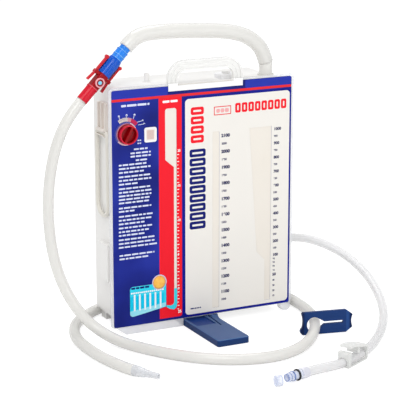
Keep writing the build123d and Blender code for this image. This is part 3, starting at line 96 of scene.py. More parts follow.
class Number:
    """One shader value, on which arithmetic adds Math nodes."""

    def __init__(self, finish, socket):
        self.finish = finish
        self.socket = socket

    def __add__(self, other):
        return self.finish.math("ADD", self, other)

    def __sub__(self, other):
        return self.finish.math("SUBTRACT", self, other)

    def __mul__(self, other):
        return self.finish.math("MULTIPLY", self, other)

    def __mod__(self, other):
        return self.finish.math("FLOORED_MODULO", self, other)

    def __gt__(self, other):
        return self.finish.math("GREATER_THAN", self, other)

    def __lt__(self, other):
        return self.finish.math("LESS_THAN", self, other)

    def __abs__(self):
        return self.finish.math("ABSOLUTE", self)

    __radd__ = __add__


class Finish:
    """A material built around one Principled shader."""

    def __init__(self, name, **constants):
        self.material = bpy.data.materials.new(name)
        self.material.use_nodes = True
        self.tree = self.material.node_tree
        self.shader = self.tree.nodes["Principled BSDF"]
        self.set(**constants)

    def set(self, **sockets):
        """Values or links for the shader's sockets, by name."""
        for name, value in sockets.items():
            self.connect(self.shader.inputs[name.replace("_", " ")], value)

    def connect(self, socket, value):
        """Links a socket to a number or socket, or gives it a plain value."""
        if isinstance(value, Number):
            value = value.socket
        if isinstance(value, bpy.types.NodeSocket):
            self.tree.links.new(value, socket)
        else:
            socket.default_value = value

    def node(self, kind, settings=None, **sockets):
        """A node of any type: its settings first, then its sockets' values or links."""
        made = self.tree.nodes.new("ShaderNode" + kind)
        for name, value in (settings or {}).items():
            if name == "stops":
                self.stops(made.color_ramp, value)
            else:
                setattr(made, name, value)
        for name, value in sockets.items():
            key = int(name[1:]) if name[1:].isdigit() else name.replace("_", " ")
            self.connect(made.inputs[key], value)
        return made

    def stops(self, ramp, stops):
        """Places and colours of a ramp's stops."""
        while len(ramp.elements) < len(stops):
            ramp.elements.new(0.5)
        for element, (place, color) in zip(ramp.elements, stops):
            element.position = place
            element.color = color

    def math(self, operation, first, second=0.0):
        """Outcome of one Math node."""
        made = self.node("Math", {"operation": operation}, i0=first, i1=second)
        return Number(self, made.outputs[0])

    def ramp(self, value, *stops):
        """Colour of a value on a ramp of stops."""
        return self.node("ValToRGB", {"stops": stops}, Fac=value).outputs["Color"]

    def mix(self, factor, first, second):
        """First colour where the factor is 0, second where it is 1."""
        made = self.node("Mix", {"data_type": "RGBA"}, i0=factor, i6=first, i7=second)
        return made.outputs[2]

    def tint(self, factor, color):
        """Lays a colour over the finish's own where a factor is 1."""
        own = self.shader.inputs["Base Color"].links[0].from_socket
        self.set(Base_Color=self.mix(factor, own, color))

    def place(self):
        """Object coordinates, as three numbers in millimetres."""
        coordinates = self.node("TexCoord").outputs["Object"]
        parts = self.node("SeparateXYZ", Vector=coordinates).outputs
        return [Number(self, part) * 1000.0 for part in parts]

    def noise(self, scale, detail=3.0, roughness=0.5):
        """Noise over the piece, from 0 to 1, with a scale in features per metre."""
        coordinates = self.node("TexCoord").outputs["Object"]
        made = self.node("TexNoise", Vector=coordinates, Scale=scale, Detail=detail,
                         Roughness=roughness)
        return Number(self, made.outputs["Fac"])

    def bump(self, height, strength, distance):
        """Fine relief of the surface, its distance in metres."""
        made = self.node("Bump", Height=height, Strength=strength, Distance=distance)
        self.set(Normal=made.outputs["Normal"])

    def within(self, value, low, high):
        """1 where a value is between two limits."""
        return (value > low) * (value < high)


FLOW_SCALE = 18.0
SKIN_SCALE = 1400.0
SKIN_DEPTH = 0.00004


def moulded(name, color, roughness=0.35, vary=0.05, grain=0.15, coat=0.0, **constants):
    """Moulded plastic: slight flow in its colour, uneven gloss and a fine skin."""
    finish = Finish(name, Roughness=roughness, Coat_Weight=coat, **constants)
    flow = finish.noise(FLOW_SCALE, 2.0)
    skin = finish.noise(SKIN_SCALE, 2.0)
    finish.set(Base_Color=finish.mix(flow, shaded(color, 1 - vary), shaded(color, 1 + vary)))
    finish.set(Roughness=roughness - 0.04 + flow * 0.08)
    finish.bump(skin, grain, SKIN_DEPTH)
    return finish


DULL = {"Specular_IOR_Level": 0.14}
SOFT_SHINE = {"Specular_IOR_Level": 0.16}

WHITE = moulded("white_moulding", srgb(239, 238, 236), 0.36, vary=0.025)
ROD = moulded("rod_ivory", srgb(226, 223, 214), 0.3, vary=0.04)
BRACKET = moulded("bracket_ivory", srgb(232, 225, 218), 0.34, vary=0.04)
STEEL = moulded("spring_wire", srgb(190, 192, 196), 0.28, Metallic=1.0)
BLACK = moulded("seal_rubber", srgb(22, 22, 24), 0.5, grain=0.4)
# The relief housing is painted lighter than the white moulding, as painted light against the
# handle's shade.
RELIEF_PAINTED_LIGHT = moulded("relief_grey", srgb(246, 246, 248), 0.34, vary=0.03)
FLOAT = moulded("float_orange", srgb(236, 120, 70), 0.4)
DEEP_BLUE = moulded("deep_blue", srgb(0, 84, 196), 0.16, vary=0.1, coat=0.24, **SOFT_SHINE)
RED = moulded("lock_red", srgb(206, 18, 38), 0.24, vary=0.1, coat=0.1, **SOFT_SHINE)
CYAN = moulded("button_cyan", srgb(120, 214, 240), 0.3)
PINCH = moulded("pinch_clear", srgb(236, 237, 235), 0.3, vary=0.02, grain=0.1, Alpha=0.72)
PORT = moulded("port_clear", srgb(240, 239, 235), 0.26, vary=0.02, Alpha=0.85)
STEPPED = moulded("clear_fitting", srgb(230, 232, 236), 0.14, vary=0.03, Alpha=0.62)


# Places and colours that the finishes, tubes and print refer to, in millimetres

DIAL_AT = (-97.7, 236.6)
PANE_AT = (-67.45, 232.9)
LOCK_START = Vector((-87.9, 20, 330.7))
LOCK_AIM = Vector((-0.696, 0, -0.718)).normalized()
LOCK_LENGTH = 78.0
BOSS_STATION = 50.5
FITTING_START = Vector((14, -219, 6.5))
FITTING_AIM = Vector((-0.975, -0.222, 0)).normalized()
CAP_START = Vector((-29.5, -227.9, 6.1))
CAP_AIM = Vector((0.9945, -0.1045, 0))
CLAMP_START = Vector((80.3, -91.1, 0))
CLAMP_AIM = Vector((0.9781, -0.2079, 0))
STEPPED_START = Vector((-149, -131, 6.25))
STEPPED_AIM = Vector((0.46, -0.888, 0)).normalized()
HANDLE_FOOT_TOP = 289.0
STAND_EDGE = 7.9
CHAMBER_HALF_WIDTH = 103.2
CHAMBER_FOOT = 9.7
CHAMBER_TOP = 286.2

PALE_RING = srgb(116, 184, 246)
BLUE_EDGE = srgb(96, 130, 200)
# Painted shade and painted highlight for the navy clamp.
PAINTED_SHADE_NAVY = srgb(12, 34, 78)
PAINTED_HIGHLIGHT_NAVY = srgb(34, 70, 130)


def along(finish, start, aim):
    """Distance in millimetres along an axis from its start."""
    x, y, z = finish.place()
    parts = [(value - at) * share for value, at, share in zip((x, y, z), start, aim)]
    return parts[0] + parts[1] + parts[2]


def off_axis(finish, centre, first, second):
    """Distance in millimetres from an axis that two of the coordinates cross."""
    place = finish.place()
    a, b = place[first] - centre[0], place[second] - centre[1]
    return finish.math("SQRT", a * a + b * b)


def banded(name, base, bands, start, aim, roughness, **constants):
    """Moulding with bands of colour at stations along its axis."""
    finish = moulded(name, base, roughness, vary=0.05, grain=0.08, **constants)
    station = along(finish, start, aim)
    for low, high, shade in bands:
        finish.tint(finish.within(station, low, high), shade)
    return finish


def handle_clear():
    """Clear arch whose foot in the notch is milky white."""
    finish = moulded("clear_handle", srgb(248, 248, 246), 0.14, vary=0.02, grain=0.05)
    foot = finish.place()[2] < HANDLE_FOOT_TOP
    finish.tint(foot, srgb(250, 250, 249))
    finish.set(Alpha=0.62 + foot * 0.36)
    return finish


def stand_blue():
    """Navy foot with painted light: lit top, shaded sides, edge highlight, shade in the recess."""
    finish = moulded("stand_navy", srgb(26, 56, 106), 0.4, vary=0.05, grain=0.3, **DULL)
    height = finish.place()[2]
    cloud = finish.noise(28.0, 3.0)
    # Painted light: the top's lit colour, and the painted shade of the recess floor.
    top = finish.mix(cloud, srgb(62, 90, 140), srgb(74, 102, 148))
    deep = finish.mix(cloud, srgb(22, 54, 122), srgb(34, 64, 128))
    # Painted shade on the recess floor, a painted highlight on the top edge, the lit top.
    finish.tint(finish.within(height, 6.3, 6.9), deep)
    finish.tint(finish.within(height, 7.2, STAND_EDGE), srgb(88, 118, 160))
    finish.tint(height > STAND_EDGE, top)
    return finish


def label_film():
    """Printed blue film over uneven chambers: broad paler and darker patches."""
    finish = moulded("label_blue", srgb(24, 38, 142), 0.4, grain=0.05, **DULL)
    patches = finish.noise(15.0, 2.0, 0.4)
    finish.set(Base_Color=finish.ramp(patches, (0.36, srgb(12, 24, 110)),
                                      (0.5, srgb(20, 35, 134)), (0.64, srgb(34, 50, 160))))
    return finish


def dial_red():
    """Crimson knob: dark well, painted highlight on the front rim, pale rose flange under it."""
    finish = moulded("dial_crimson", srgb(140, 0, 10), 0.2, vary=0.2, coat=0.1, **DULL)
    radius = off_axis(finish, DIAL_AT, 0, 2)
    depth = finish.place()[1]
    # Painted highlight: the knob's front rim is lit a brighter red.
    finish.tint((radius > 9.4) * (depth < -7.0), srgb(208, 26, 48))
    finish.tint(radius > 11.75, srgb(226, 150, 160))
    return finish


def seat_ring():
    """Clear ring round the knob: the film's blue shows at its left, gloss at its right."""
    finish = moulded("seat_clear", srgb(232, 200, 208), 0.2, vary=0.04, grain=0.05)
    x, _, z = finish.place()
    side = (x - DIAL_AT[0]) * 0.8 - (z - DIAL_AT[1]) * 0.6
    finish.tint(side < -3.0, srgb(84, 92, 176))
    return finish


def lock_shell():
    """Red lock body with the pale rose rim of its round boss."""
    finish = moulded("lock_shell", srgb(164, 0, 16), 0.32, vary=0.16, coat=0.03, **DULL)
    centre = LOCK_START + LOCK_AIM * BOSS_STATION
    radius = off_axis(finish, (centre.x, centre.z), 0, 2)
    depth = finish.place()[1]
    finish.tint(finish.within(radius, 4.0, 5.9) * (depth < 12.6), srgb(244, 166, 172))
    return finish


CLEAR_HANDLE = handle_clear()
STAND_BLUE = stand_blue()
LABEL = label_film()
# Navy clamp: painted shade at both ends and a painted highlight band just inside the far end.
CLAMP_NAVY = banded(
    "clamp_navy", srgb(24, 56, 112), [(-1.0, 3.2, PAINTED_SHADE_NAVY), (54.0, 57.5, PAINTED_HIGHLIGHT_NAVY),
                                      (58.8, 66.0, PAINTED_SHADE_NAVY)],
    CLAMP_START, CLAMP_AIM, 0.4, **DULL)
RED_DIAL = dial_red()
LOCK_RED = lock_shell()
SEAT_RING = seat_ring()
CLEAR_BLUE = banded(
    "tinted_blue", srgb(40, 136, 240), [(4.8, 5.5, PALE_RING), (11.6, 12.4, PALE_RING),
                                        (16.2, 16.9, PALE_RING)],
    LOCK_START, LOCK_AIM, 0.16, coat=0.2, Alpha=0.9, **SOFT_SHINE)
RED_BARREL = banded(
    "tinted_red", srgb(212, 26, 48), [(58.5, 59.2, srgb(226, 110, 122))],
    LOCK_START, LOCK_AIM, 0.18, coat=0.1, Alpha=0.97, **SOFT_SHINE)
FITTING = banded(
    "fitting_blue", srgb(226, 233, 250), [
        (-1.0, 9.3, srgb(238, 238, 248)), (20.2, 21.9, BLUE_EDGE), (28.7, 29.6, BLUE_EDGE),
        (25.0, 25.7, BLUE_EDGE)],
    FITTING_START, FITTING_AIM, 0.14, Alpha=0.55)
CAP_CLEAR = banded(
    "cap_clear", srgb(228, 233, 246), [(-0.3, 0.4, srgb(206, 216, 244)), (6.0, 7.0, BLUE_EDGE)],
    CAP_START, CAP_AIM, 0.14, Alpha=0.5)


def case_front():
    """Clear flange, skirt and pad; the chambers' wall behind the film is milky."""
    finish = moulded("case_front", srgb(240, 241, 246), 0.16, vary=0.02, grain=0.04)
    x, _, z = finish.place()
    inside = (abs(x) < CHAMBER_HALF_WIDTH) * finish.within(z, CHAMBER_FOOT, CHAMBER_TOP)
    milk = finish.mix(finish.noise(9.0, 3.0), srgb(231, 224, 212), srgb(236, 231, 223))
    finish.tint(inside, milk)
    finish.set(Alpha=0.5 + inside * 0.5)
    return finish


def meter_plate():
    """Cyan plate: pale bars, deeper channels between them, pale foot."""
    finish = Finish("meter_cyan", Roughness=0.25, Coat_Weight=0.1, **DULL)
    x, _, z = finish.place()
    left, start, pitch, width = -94.8, -90.3, 6.6, 2.1
    phase = (x - start) % pitch
    bars = (phase < width) * finish.within(z, 27.0, 46.6) * finish.within(x, start, -53.0)
    channels = (phase > width + 0.3) * finish.within(z, 28.5, 44.5) * finish.within(
        x, start - 4, -52.0)
    foot = z < 27.0 + (x - left) * 0.12
    finish.set(Base_Color=finish.mix(finish.noise(40.0), srgb(36, 208, 236),
                                     srgb(58, 218, 242)))
    finish.tint(channels, srgb(0, 198, 234))
    finish.tint(foot, srgb(150, 226, 242))
    finish.tint(bars, srgb(240, 248, 250))
    finish.bump(finish.noise(900.0), 0.1, 0.00003)
    return finish


def window_pane():
    """White frame round a beige pane with a fine woven mark."""
    finish = Finish("float_pane", Roughness=0.3, Coat_Weight=0.3)
    x, _, z = finish.place()
    across, up = abs(x - PANE_AT[0]), abs(z - PANE_AT[1])
    pane = (across < 5.9) * (up < 6.8)
    inner = (across < 4.4) * (up < 5.2)
    hatch = finish.math("SINE", (x + z) * 6.0) * finish.math("SINE", (x - z) * 6.0)
    beige = finish.mix(hatch * 0.5 + 0.5, srgb(222, 198, 190), srgb(236, 222, 212))
    rim = finish.mix(inner, srgb(238, 232, 226), beige)
    finish.set(Base_Color=finish.mix(pane, srgb(246, 246, 246), rim))
    finish.bump(finish.noise(900.0), 0.1, 0.00003)
    return finish


def port_disc():
    """Pale orange rubber disc with a faint printed grain."""
    finish = Finish("port_rubber", Roughness=0.6)
    grain = finish.noise(260.0, 4.0)
    finish.set(Base_Color=finish.ramp(grain, (0.3, srgb(246, 170, 58)), (0.7, srgb(255, 204, 92))))
    finish.bump(grain, 0.3, 0.0001)
    return finish


FACE = case_front()
METER = meter_plate()
PANE = window_pane()
DISC = port_disc()


def paint(piece, finish):
    """Gives a piece one finish, in place of any that it has."""
    piece.data.materials.clear()
    piece.data.materials.append(finish.material)


NODE_FINISHES = {
    "front_case": FACE, "rear_case": WHITE, "carry_handle": CLEAR_HANDLE, "front_label": LABEL,
    "seal_chamber": WHITE, "air_leak_meter": METER, "sample_port": DISC, "dial_seat": SEAT_RING,
    "suction_dial": RED_DIAL, "dial_spindle": WHITE, "regulator_housing": WHITE,
    "regulator_spring": STEEL, "regulator_diaphragm": BLACK, "float_window": PANE,
    "float_cage": WHITE, "suction_float": FLOAT, "relief_housing": RELIEF_PAINTED_LIGHT,
    "relief_button": WHITE, "relief_spring": STEEL, "vent_stub": WHITE, "patient_port": PORT,
    "suction_port": WHITE, "hanger_bracket_left": BRACKET, "hanger_bracket_right": BRACKET,
    "hanger_left": ROD, "hanger_right": ROD, "floor_stand": STAND_BLUE, "stand_pin": STAND_BLUE,
    "blue_barrel": CLEAR_BLUE, "lock_collar": DEEP_BLUE, "lock_body": LOCK_RED,
    "lock_button": CYAN, "lock_lever_left": RED, "lock_lever_right": RED,
    "red_barrel": RED_BARREL, "stepped_connector": STEPPED, "tube_clamp": CLAMP_NAVY,
    "pinch_clamp": PINCH, "suction_connector": FITTING, "connector_seal": BLACK,
    "connector_cap": CAP_CLEAR,
}
for node, finish in NODE_FINISHES.items():
    paint(NODES[node], finish)


# Tubes, on the routes of their solids, in millimetres

UPPER_ROUTE = [
    (91.4, 20, 301.5), (87.6, 20, 314), (78.5, 20, 325), (66, 20, 333.4), (51.5, 20, 338.6),
    (35, 20, 341.4), (15, 20, 343.4), (-12, 20, 345), (-35, 20, 345.8), (-51, 20, 345.6),
    (-63, 20, 345), (-72.6, 20, 342.6), LOCK_START - LOCK_AIM * 9.9, LOCK_START,
]
LOWER_ROUTE = [
    LOCK_START + LOCK_AIM * LOCK_LENGTH, LOCK_START + LOCK_AIM * (LOCK_LENGTH + 24),
    (-174, 20, 227), (-181.6, 20, 196), (-185, 20, 165), (-185, 19, 134), (-182, 17, 103),
    (-175, 13, 73), (-164, 6, 46.5), (-151.5, -4.5, 26.5), (-139, -17, 14.8), (-129, -33, 8.8),
    (-119, -51, 6.35), (-104.5, -80, 6.25), (-87.5, -106, 6.25), (-66.5, -129, 6.25),
    (-41, -147, 6.25), (-12, -157.5, 6.25), (19, -158.5, 6.25), (48, -148, 7.2),
    (72.6, -128.5, 9.2), (92, -103.6, 11.6), (106.6, -75.5, 11.3), (118.5, -48, 8.2),
    (126.6, -18, 6.4), (129.4, 13, 6.25), (127.8, 43, 6.25), (121, 70, 6.25), (105, 91, 6.25),
    (82, 103, 6.25), (53, 108, 6.25), (22, 109.6, 6.25), (-9, 109.2, 6.25), (-40, 107, 6.25),
    (-69, 101, 6.25), (-96, 89, 6.25), (-120, 71.5, 6.25), (-140.5, 51, 6.25),
    (-155, 25, 6.25), (-163.5, -4, 6.25), (-166, -34, 6.25), (-165, -62, 6.25),
    (-161.5, -89, 6.25), (-156, -113, 6.25), STEPPED_START - STEPPED_AIM * 7, STEPPED_START,
]
SUCTION_ROUTE = [
    (121, 45, 77), (146, 45, 77), (172, 36, 71.5), (193.5, 17, 61), (204.5, -8, 49),
    (206.5, -35, 38), (202.5, -61, 27.5), (194, -87, 18), (180.5, -110.5, 10.5),
    (163, -132.5, 6.4), (143.5, -153.5, 5.2), (122.5, -174, 5.2), (99.5, -190.6, 5.2),
    (66, -208.6, 5.2), (46.5, -212.5, 5.6), FITTING_START - FITTING_AIM * 14, FITTING_START,
]


def spline_points(route):
    """Points, in metres, along the smooth curve that a route in millimetres guides."""
    data = bpy.data.curves.new("route", "CURVE")
    data.dimensions = "3D"
    data.resolution_u = 10
    spline = data.splines.new("NURBS")
    spline.points.add(len(route) - 1)
    for point, place in zip(spline.points, route):
        point.co = (*(Vector(place) * MM), 1.0)
    spline.order_u = 3
    spline.use_endpoint_u = True
    mesh = taken_mesh(added("route", data))
    points = [v.co.copy() for v in mesh.vertices]
    bpy.data.meshes.remove(mesh)
    return points


def carried_frames(points):
    """Directions along a line, each with a side vector carried on without twist."""
    aims = []
    for index in range(len(points)):
        before = points[max(index - 1, 0)]
        after = points[min(index + 1, len(points) - 1)]
        aims.append((after - before).normalized())
    side = aims[0].orthogonal().normalized()
    frames = []
    for aim in aims:
        side = (side - aim * side.dot(aim)).normalized()
        frames.append((aim, side, aim.cross(side)))
    return frames


SIDES = 28
UV_PER_METRE = 10


def pipe(name, points, radius, bore, finish):
    """Hollow tube along a line, closed at both ends by its wall, with its own UV map."""
    frames = carried_frames(points)
    mesh = bpy.data.meshes.new(name)
    work = bmesh.new()
    uv_layer = work.loops.layers.uv.new("UVMap")
    lengths = [0.0]
    for a, b in zip(points, points[1:]):
        lengths.append(lengths[-1] + (b - a).length)
    rows = []
    for skin, size in ((0, radius), (1, bore)):
        for index, (point, (aim, side, other)) in enumerate(zip(points, frames)):
            row = []
            for step in range(SIDES):
                turn = math.tau * step / SIDES
                offset = side * math.cos(turn) + other * math.sin(turn)
                row.append(work.verts.new(point + offset * size))
            rows.append((skin, lengths[index], row))
    count = len(points)
    for skin in (0, 1):
        for index in range(count - 1):
            _, start, low = rows[skin * count + index]
            _, end, high = rows[skin * count + index + 1]
            for step in range(SIDES):
                after = (step + 1) % SIDES
                ring = [low[step], low[after], high[after], high[step]]
                if skin:
                    ring.reverse()
                face = work.faces.new(ring)
                face.smooth = True
                share = {low[step]: (step, start), low[after]: (step + 1, start),
                         high[after]: (step + 1, end), high[step]: (step, end)}
                for loop in face.loops:
                    around, length = share[loop.vert]
                    loop[uv_layer].uv = (around / SIDES, length * UV_PER_METRE)
    for outer, inner, flip in ((rows[0][2], rows[count][2], False),
                               (rows[count - 1][2], rows[2 * count - 1][2], True)):
        for step in range(SIDES):
            after = (step + 1) % SIDES
            ring = [outer[after], outer[step], inner[step], inner[after]]
            if flip:
                ring.reverse()
            work.faces.new(ring)
    work.to_mesh(mesh)
    work.free()
    piece = added(name, mesh)
    paint(piece, finish)
    return piece


DRAW_LINES = 9.0


def tube_finish(name, color, alpha):
    """Soft clear tubing: milky wall, faint draw lines along it, wet gloss."""
    finish = Finish(name, Roughness=0.24, Coat_Weight=0.3, Alpha=alpha)
    uv = finish.node("UVMap").outputs["UV"]
    parts = finish.node("SeparateXYZ", Vector=uv).outputs
    around = Number(finish, parts[0])
    lines = finish.math("SINE", around * math.tau * DRAW_LINES)
    cloud = finish.noise(30.0, 3.0)
    finish.set(Base_Color=finish.mix(cloud * 0.7 + lines * 0.12, shaded(color, 0.95), color))
    finish.set(Roughness=0.2 + cloud * 0.1)
    finish.bump(lines * 0.5 + finish.noise(300.0) * 0.5, 0.12, 0.0002)
    return finish


SOFT_TUBE = tube_finish("soft_tube", srgb(244, 243, 239), 0.74)
THIN_TUBE = tube_finish("thin_tube", srgb(245, 245, 246), 0.62)
THICK_TUBE = tube_finish("thick_tube", srgb(243, 242, 238), 0.74)


def lay_tube(node, route, diameter, bore, finish, **facts):
    """One tube in place of its solid, attached to the case."""
    points = spline_points(route)
    piece = pipe("soft_" + node, points, diameter / 2 * MM, bore / 2 * MM, finish)
    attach(piece, "case")
    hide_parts(node)


lay_tube(
    "upper_tube", UPPER_ROUTE, 17.2, 12.6, THICK_TUBE, far_end="connector", stiffness="medium",
    lay="taut", with_pieces=[NODES[n] for n in (
        "blue_barrel", "lock_collar", "lock_body", "lock_button", "lock_lever_left",
        "lock_lever_right", "red_barrel")])
lay_tube(
    "lower_tube", LOWER_ROUTE, 12.5, 8.6, SOFT_TUBE, far_end="fitting", stiffness="medium",
    lay="loose", with_pieces=[NODES["tube_clamp"], NODES["stepped_connector"]])
lay_tube(
    "suction_tube", SUCTION_ROUTE, 10.3, 6.8, THIN_TUBE, far_end="fitting", stiffness="medium",
    lay="loose", with_pieces=[NODES[n] for n in (
        "pinch_clamp", "suction_connector", "connector_seal", "connector_cap")])


# Repeated marks

def new_tree(name, fields):
    """Geometry node tree with named inputs: the tree, its input node and the inputs' keys."""
    tree = bpy.data.node_groups.new(name, "GeometryNodeTree")
    tree.interface.new_socket(name="Geometry", in_out="OUTPUT", socket_type="NodeSocketGeometry")
    keys = {}
    for label, kind in fields:
        socket = tree.interface.new_socket(name=label, in_out="INPUT",
                                           socket_type="NodeSocket" + kind)
        keys[label] = socket.identifier
    return tree, tree.nodes.new("NodeGroupInput"), keys


def set_blocks(tree, inputs, points, turn):
    """A turned copy of the block on each point, with its finish, as the tree's outcome."""
    block = tree.nodes.new("GeometryNodeMeshCube")
    copies = tree.nodes.new("GeometryNodeInstanceOnPoints")
    realize = tree.nodes.new("GeometryNodeRealizeInstances")
    finish = tree.nodes.new("GeometryNodeSetMaterial")
    out = tree.nodes.new("NodeGroupOutput")
    tree.links.new(inputs.outputs["Block"], block.inputs["Size"])
    tree.links.new(points, copies.inputs["Points"])
    tree.links.new(turn, copies.inputs["Rotation"])
    tree.links.new(block.outputs["Mesh"], copies.inputs["Instance"])
    tree.links.new(copies.outputs["Instances"], realize.inputs["Geometry"])
    tree.links.new(realize.outputs["Geometry"], finish.inputs["Geometry"])
    tree.links.new(inputs.outputs["Finish"], finish.inputs["Material"])
    tree.links.new(finish.outputs["Geometry"], out.inputs[0])


def lattice_tree():
    """Blocks on a lattice of columns and rows."""
    tree, inputs, keys = new_tree("lattice_of_blocks", [
        ("Columns", "Int"), ("Rows", "Int"), ("Start", "Vector"), ("Column Step", "Vector"),
        ("Row Step", "Vector"), ("Block", "Vector"), ("Turn", "Vector"), ("Finish", "Material")])
    lines = []
    for count, step in (("Columns", "Column Step"), ("Rows", "Row Step")):
        line = tree.nodes.new("GeometryNodeMeshLine")
        tree.links.new(inputs.outputs[count], line.inputs["Count"])
        tree.links.new(inputs.outputs[step], line.inputs["Offset"])
        lines.append(line)
    tree.links.new(inputs.outputs["Start"], lines[0].inputs["Start Location"])
    spread = tree.nodes.new("GeometryNodeInstanceOnPoints")
    tree.links.new(lines[0].outputs["Mesh"], spread.inputs["Points"])
    tree.links.new(lines[1].outputs["Mesh"], spread.inputs["Instance"])
    points = tree.nodes.new("GeometryNodeRealizeInstances")
    tree.links.new(spread.outputs["Instances"], points.inputs["Geometry"])
    set_blocks(tree, inputs, points.outputs["Geometry"], inputs.outputs["Turn"])
    return tree, keys


def fan_tree():
    """Blocks set across an arc, each in line with the arc's radius."""
    tree, inputs, keys = new_tree("fan_of_blocks", [
        ("Count", "Int"), ("Radius", "Float"), ("First Angle", "Float"), ("Sweep", "Float"),
        ("Block", "Vector"), ("Finish", "Material")])
    arc = tree.nodes.new("GeometryNodeCurveArc")
    arc.mode = "RADIUS"
    for name, socket in (("Count", "Resolution"), ("Radius", "Radius"),
                         ("First Angle", "Start Angle"), ("Sweep", "Sweep Angle")):
        tree.links.new(inputs.outputs[name], arc.inputs[socket])
    points = tree.nodes.new("GeometryNodeCurveToPoints")
    points.mode = "EVALUATED"
    tree.links.new(arc.outputs["Curve"], points.inputs["Curve"])
    set_blocks(tree, inputs, points.outputs["Points"], points.outputs["Rotation"])
    return tree, keys


LATTICE = lattice_tree()
FAN = fan_tree()


def printed(piece):
    """Attaches a piece of print to the case."""
    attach(piece, "case")
    return piece


def repeated(name, made_tree, place, **values):
    """The copies of a tree as one plain mesh piece of print."""
    tree, keys = made_tree
    carrier = added(name, bpy.data.meshes.new(name))
    modifier = carrier.modifiers.new("copies", "NODES")
    modifier.node_group = tree
    for key, value in values.items():
        modifier[keys[key.replace("_", " ")]] = value
    mesh = taken_mesh(carrier)
    mesh.name = name
    mesh.transform(place)
    printed(added(name, mesh))


# Print on the film, in millimetres across and up the face

# FILM is the depth of the film's front, INK the thickness of a layer of print and OVER the
# upper of two layers. The meter's front is METER_RISE before the film's. TEXT_SIZE is a text's
# size for a figure of height 1. ON_FACE stands a flat outline up on the face.

FILM = -0.3
INK = 0.03
OVER = 2
METER_RISE = 0.32
TEXT_SIZE = 1.38
ON_FACE = Matrix(((1, 0, 0, 0), (0, 0, -1, 0), (0, 1, 0, 0), (0, 0, 0, 1)))

INK_COLORS = {
    "panel": (236, 233, 227), "border": (2, 16, 136), "head": (34, 50, 166),
    "red": (240, 24, 42), "line": (228, 40, 48), "white": (244, 244, 246),
    "pale": (214, 220, 242), "cyan": (60, 212, 230), "navy": (10, 22, 108),
    "figures": (24, 30, 84), "cream": (244, 234, 210), "rose": (238, 170, 172),
    "hatch": (212, 176, 170),
}
INKS = {
    name: moulded("ink_" + name, srgb(*color), 0.4, vary=0.015 if name == "panel" else 0.04,
                  grain=0.04, **DULL)
    for name, color in INK_COLORS.items()
}


def layer(level):
    """Depth of the middle of a layer of print, in metres; the first lies on the film."""
    return (FILM - INK * (level - 0.5)) * MM


def on_film(x, z):
    """Point of the upper layer of print, in metres."""
    return (x * MM, layer(OVER), z * MM)


def rounded(left, right, low, high, radius=0.0, steps=6):
    """Corners of a rectangle, each rounded by short steps."""
    if radius <= 0:
        return [(left, low), (right, low), (right, high), (left, high)]
    points = []
    for x, z, start in ((right - radius, low + radius, -90), (right - radius, high - radius, 0),
                        (left + radius, high - radius, 90), (left + radius, low + radius, 180)):
        for step in range(steps + 1):
            turn = math.radians(start + 90 * step / steps)
            points.append((x + radius * math.cos(turn), z + radius * math.sin(turn)))
    return points


def arc_points(x, z, radius, start, end, steps):
    """Points on an arc about a centre, from one angle to another in degrees."""
    turns = [math.radians(start + (end - start) * k / steps) for k in range(steps + 1)]
    return [(x + radius * math.cos(t), z + radius * math.sin(t)) for t in turns]


def to_mesh_piece(name, made, place):
    """Evaluated curve or text as a plain mesh piece, its place in its mesh."""
    mesh = taken_mesh(made)
    mesh.name = name
    mesh.transform(place)
    return added(name, mesh)


def ink(name, color, outlines, level=1):
    """Flat print of closed outlines, where one inside another is a hole in it."""
    data = bpy.data.curves.new(name, "CURVE")
    data.dimensions = "2D"
    data.fill_mode = "BOTH"
    data.extrude = INK / 2 * MM
    for outline in outlines:
        spline = data.splines.new("POLY")
        spline.points.add(len(outline) - 1)
        for point, (x, z) in zip(spline.points, outline):
            point.co = (x * MM, z * MM, 0, 1)
        spline.use_cyclic_u = True
    lift = Matrix.Translation((0, layer(level), 0))
    piece = to_mesh_piece(name, added(name, data), lift @ ON_FACE)
    paint(piece, INKS[color])
    return printed(piece)


def joined(name, pieces):
    """Several mesh pieces as one."""
    work = bmesh.new()
    for piece in pieces:
        work.from_mesh(piece.data)
        bpy.data.objects.remove(piece)
    mesh = bpy.data.meshes.new(name)
    work.to_mesh(mesh)
    work.free()
    return added(name, mesh)


def figures(name, color, entries):
    """Printed numbers: text, left edge, middle height, size, boldness and width of each."""
    pieces = []
    for body, x, z, size, bold, stretch in entries:
        data = bpy.data.curves.new(name, "FONT")
        data.body = body
        data.size = size * TEXT_SIZE * MM
        data.align_y = "CENTER"
        data.offset = bold * MM
        data.extrude = INK / 2 * MM
        place = Matrix.Translation(on_film(x, z))
        scale = Matrix.Diagonal((stretch, 1, 1, 1))
        pieces.append(to_mesh_piece(name, added(name, data), place @ scale @ ON_FACE))
    piece = joined(name, pieces)
    paint(piece, INKS[color])
    printed(piece)


SEAL_WINDOW = (
    [(-49.0, 201.6)] + [(-38.2, 192.4), (-38.2, 46.6), (-34.6, 46.6), (-34.6, 192.4)]
    + arc_points(-37.6, 258.0, 3.0, 0, 90, 6) + arc_points(-46.0, 258.0, 3.0, 90, 180, 6))
FIRST_STRIP = rounded(11.4, 20.4, 16.8, 229.0, 1.2)
SECOND_STRIP = [(59.6, 229), (89, 229), (89, 16.8), (81, 16.8), (81, 67.4), (70.3, 78.2)]
DISC_AT = (-57.3, 57.5)


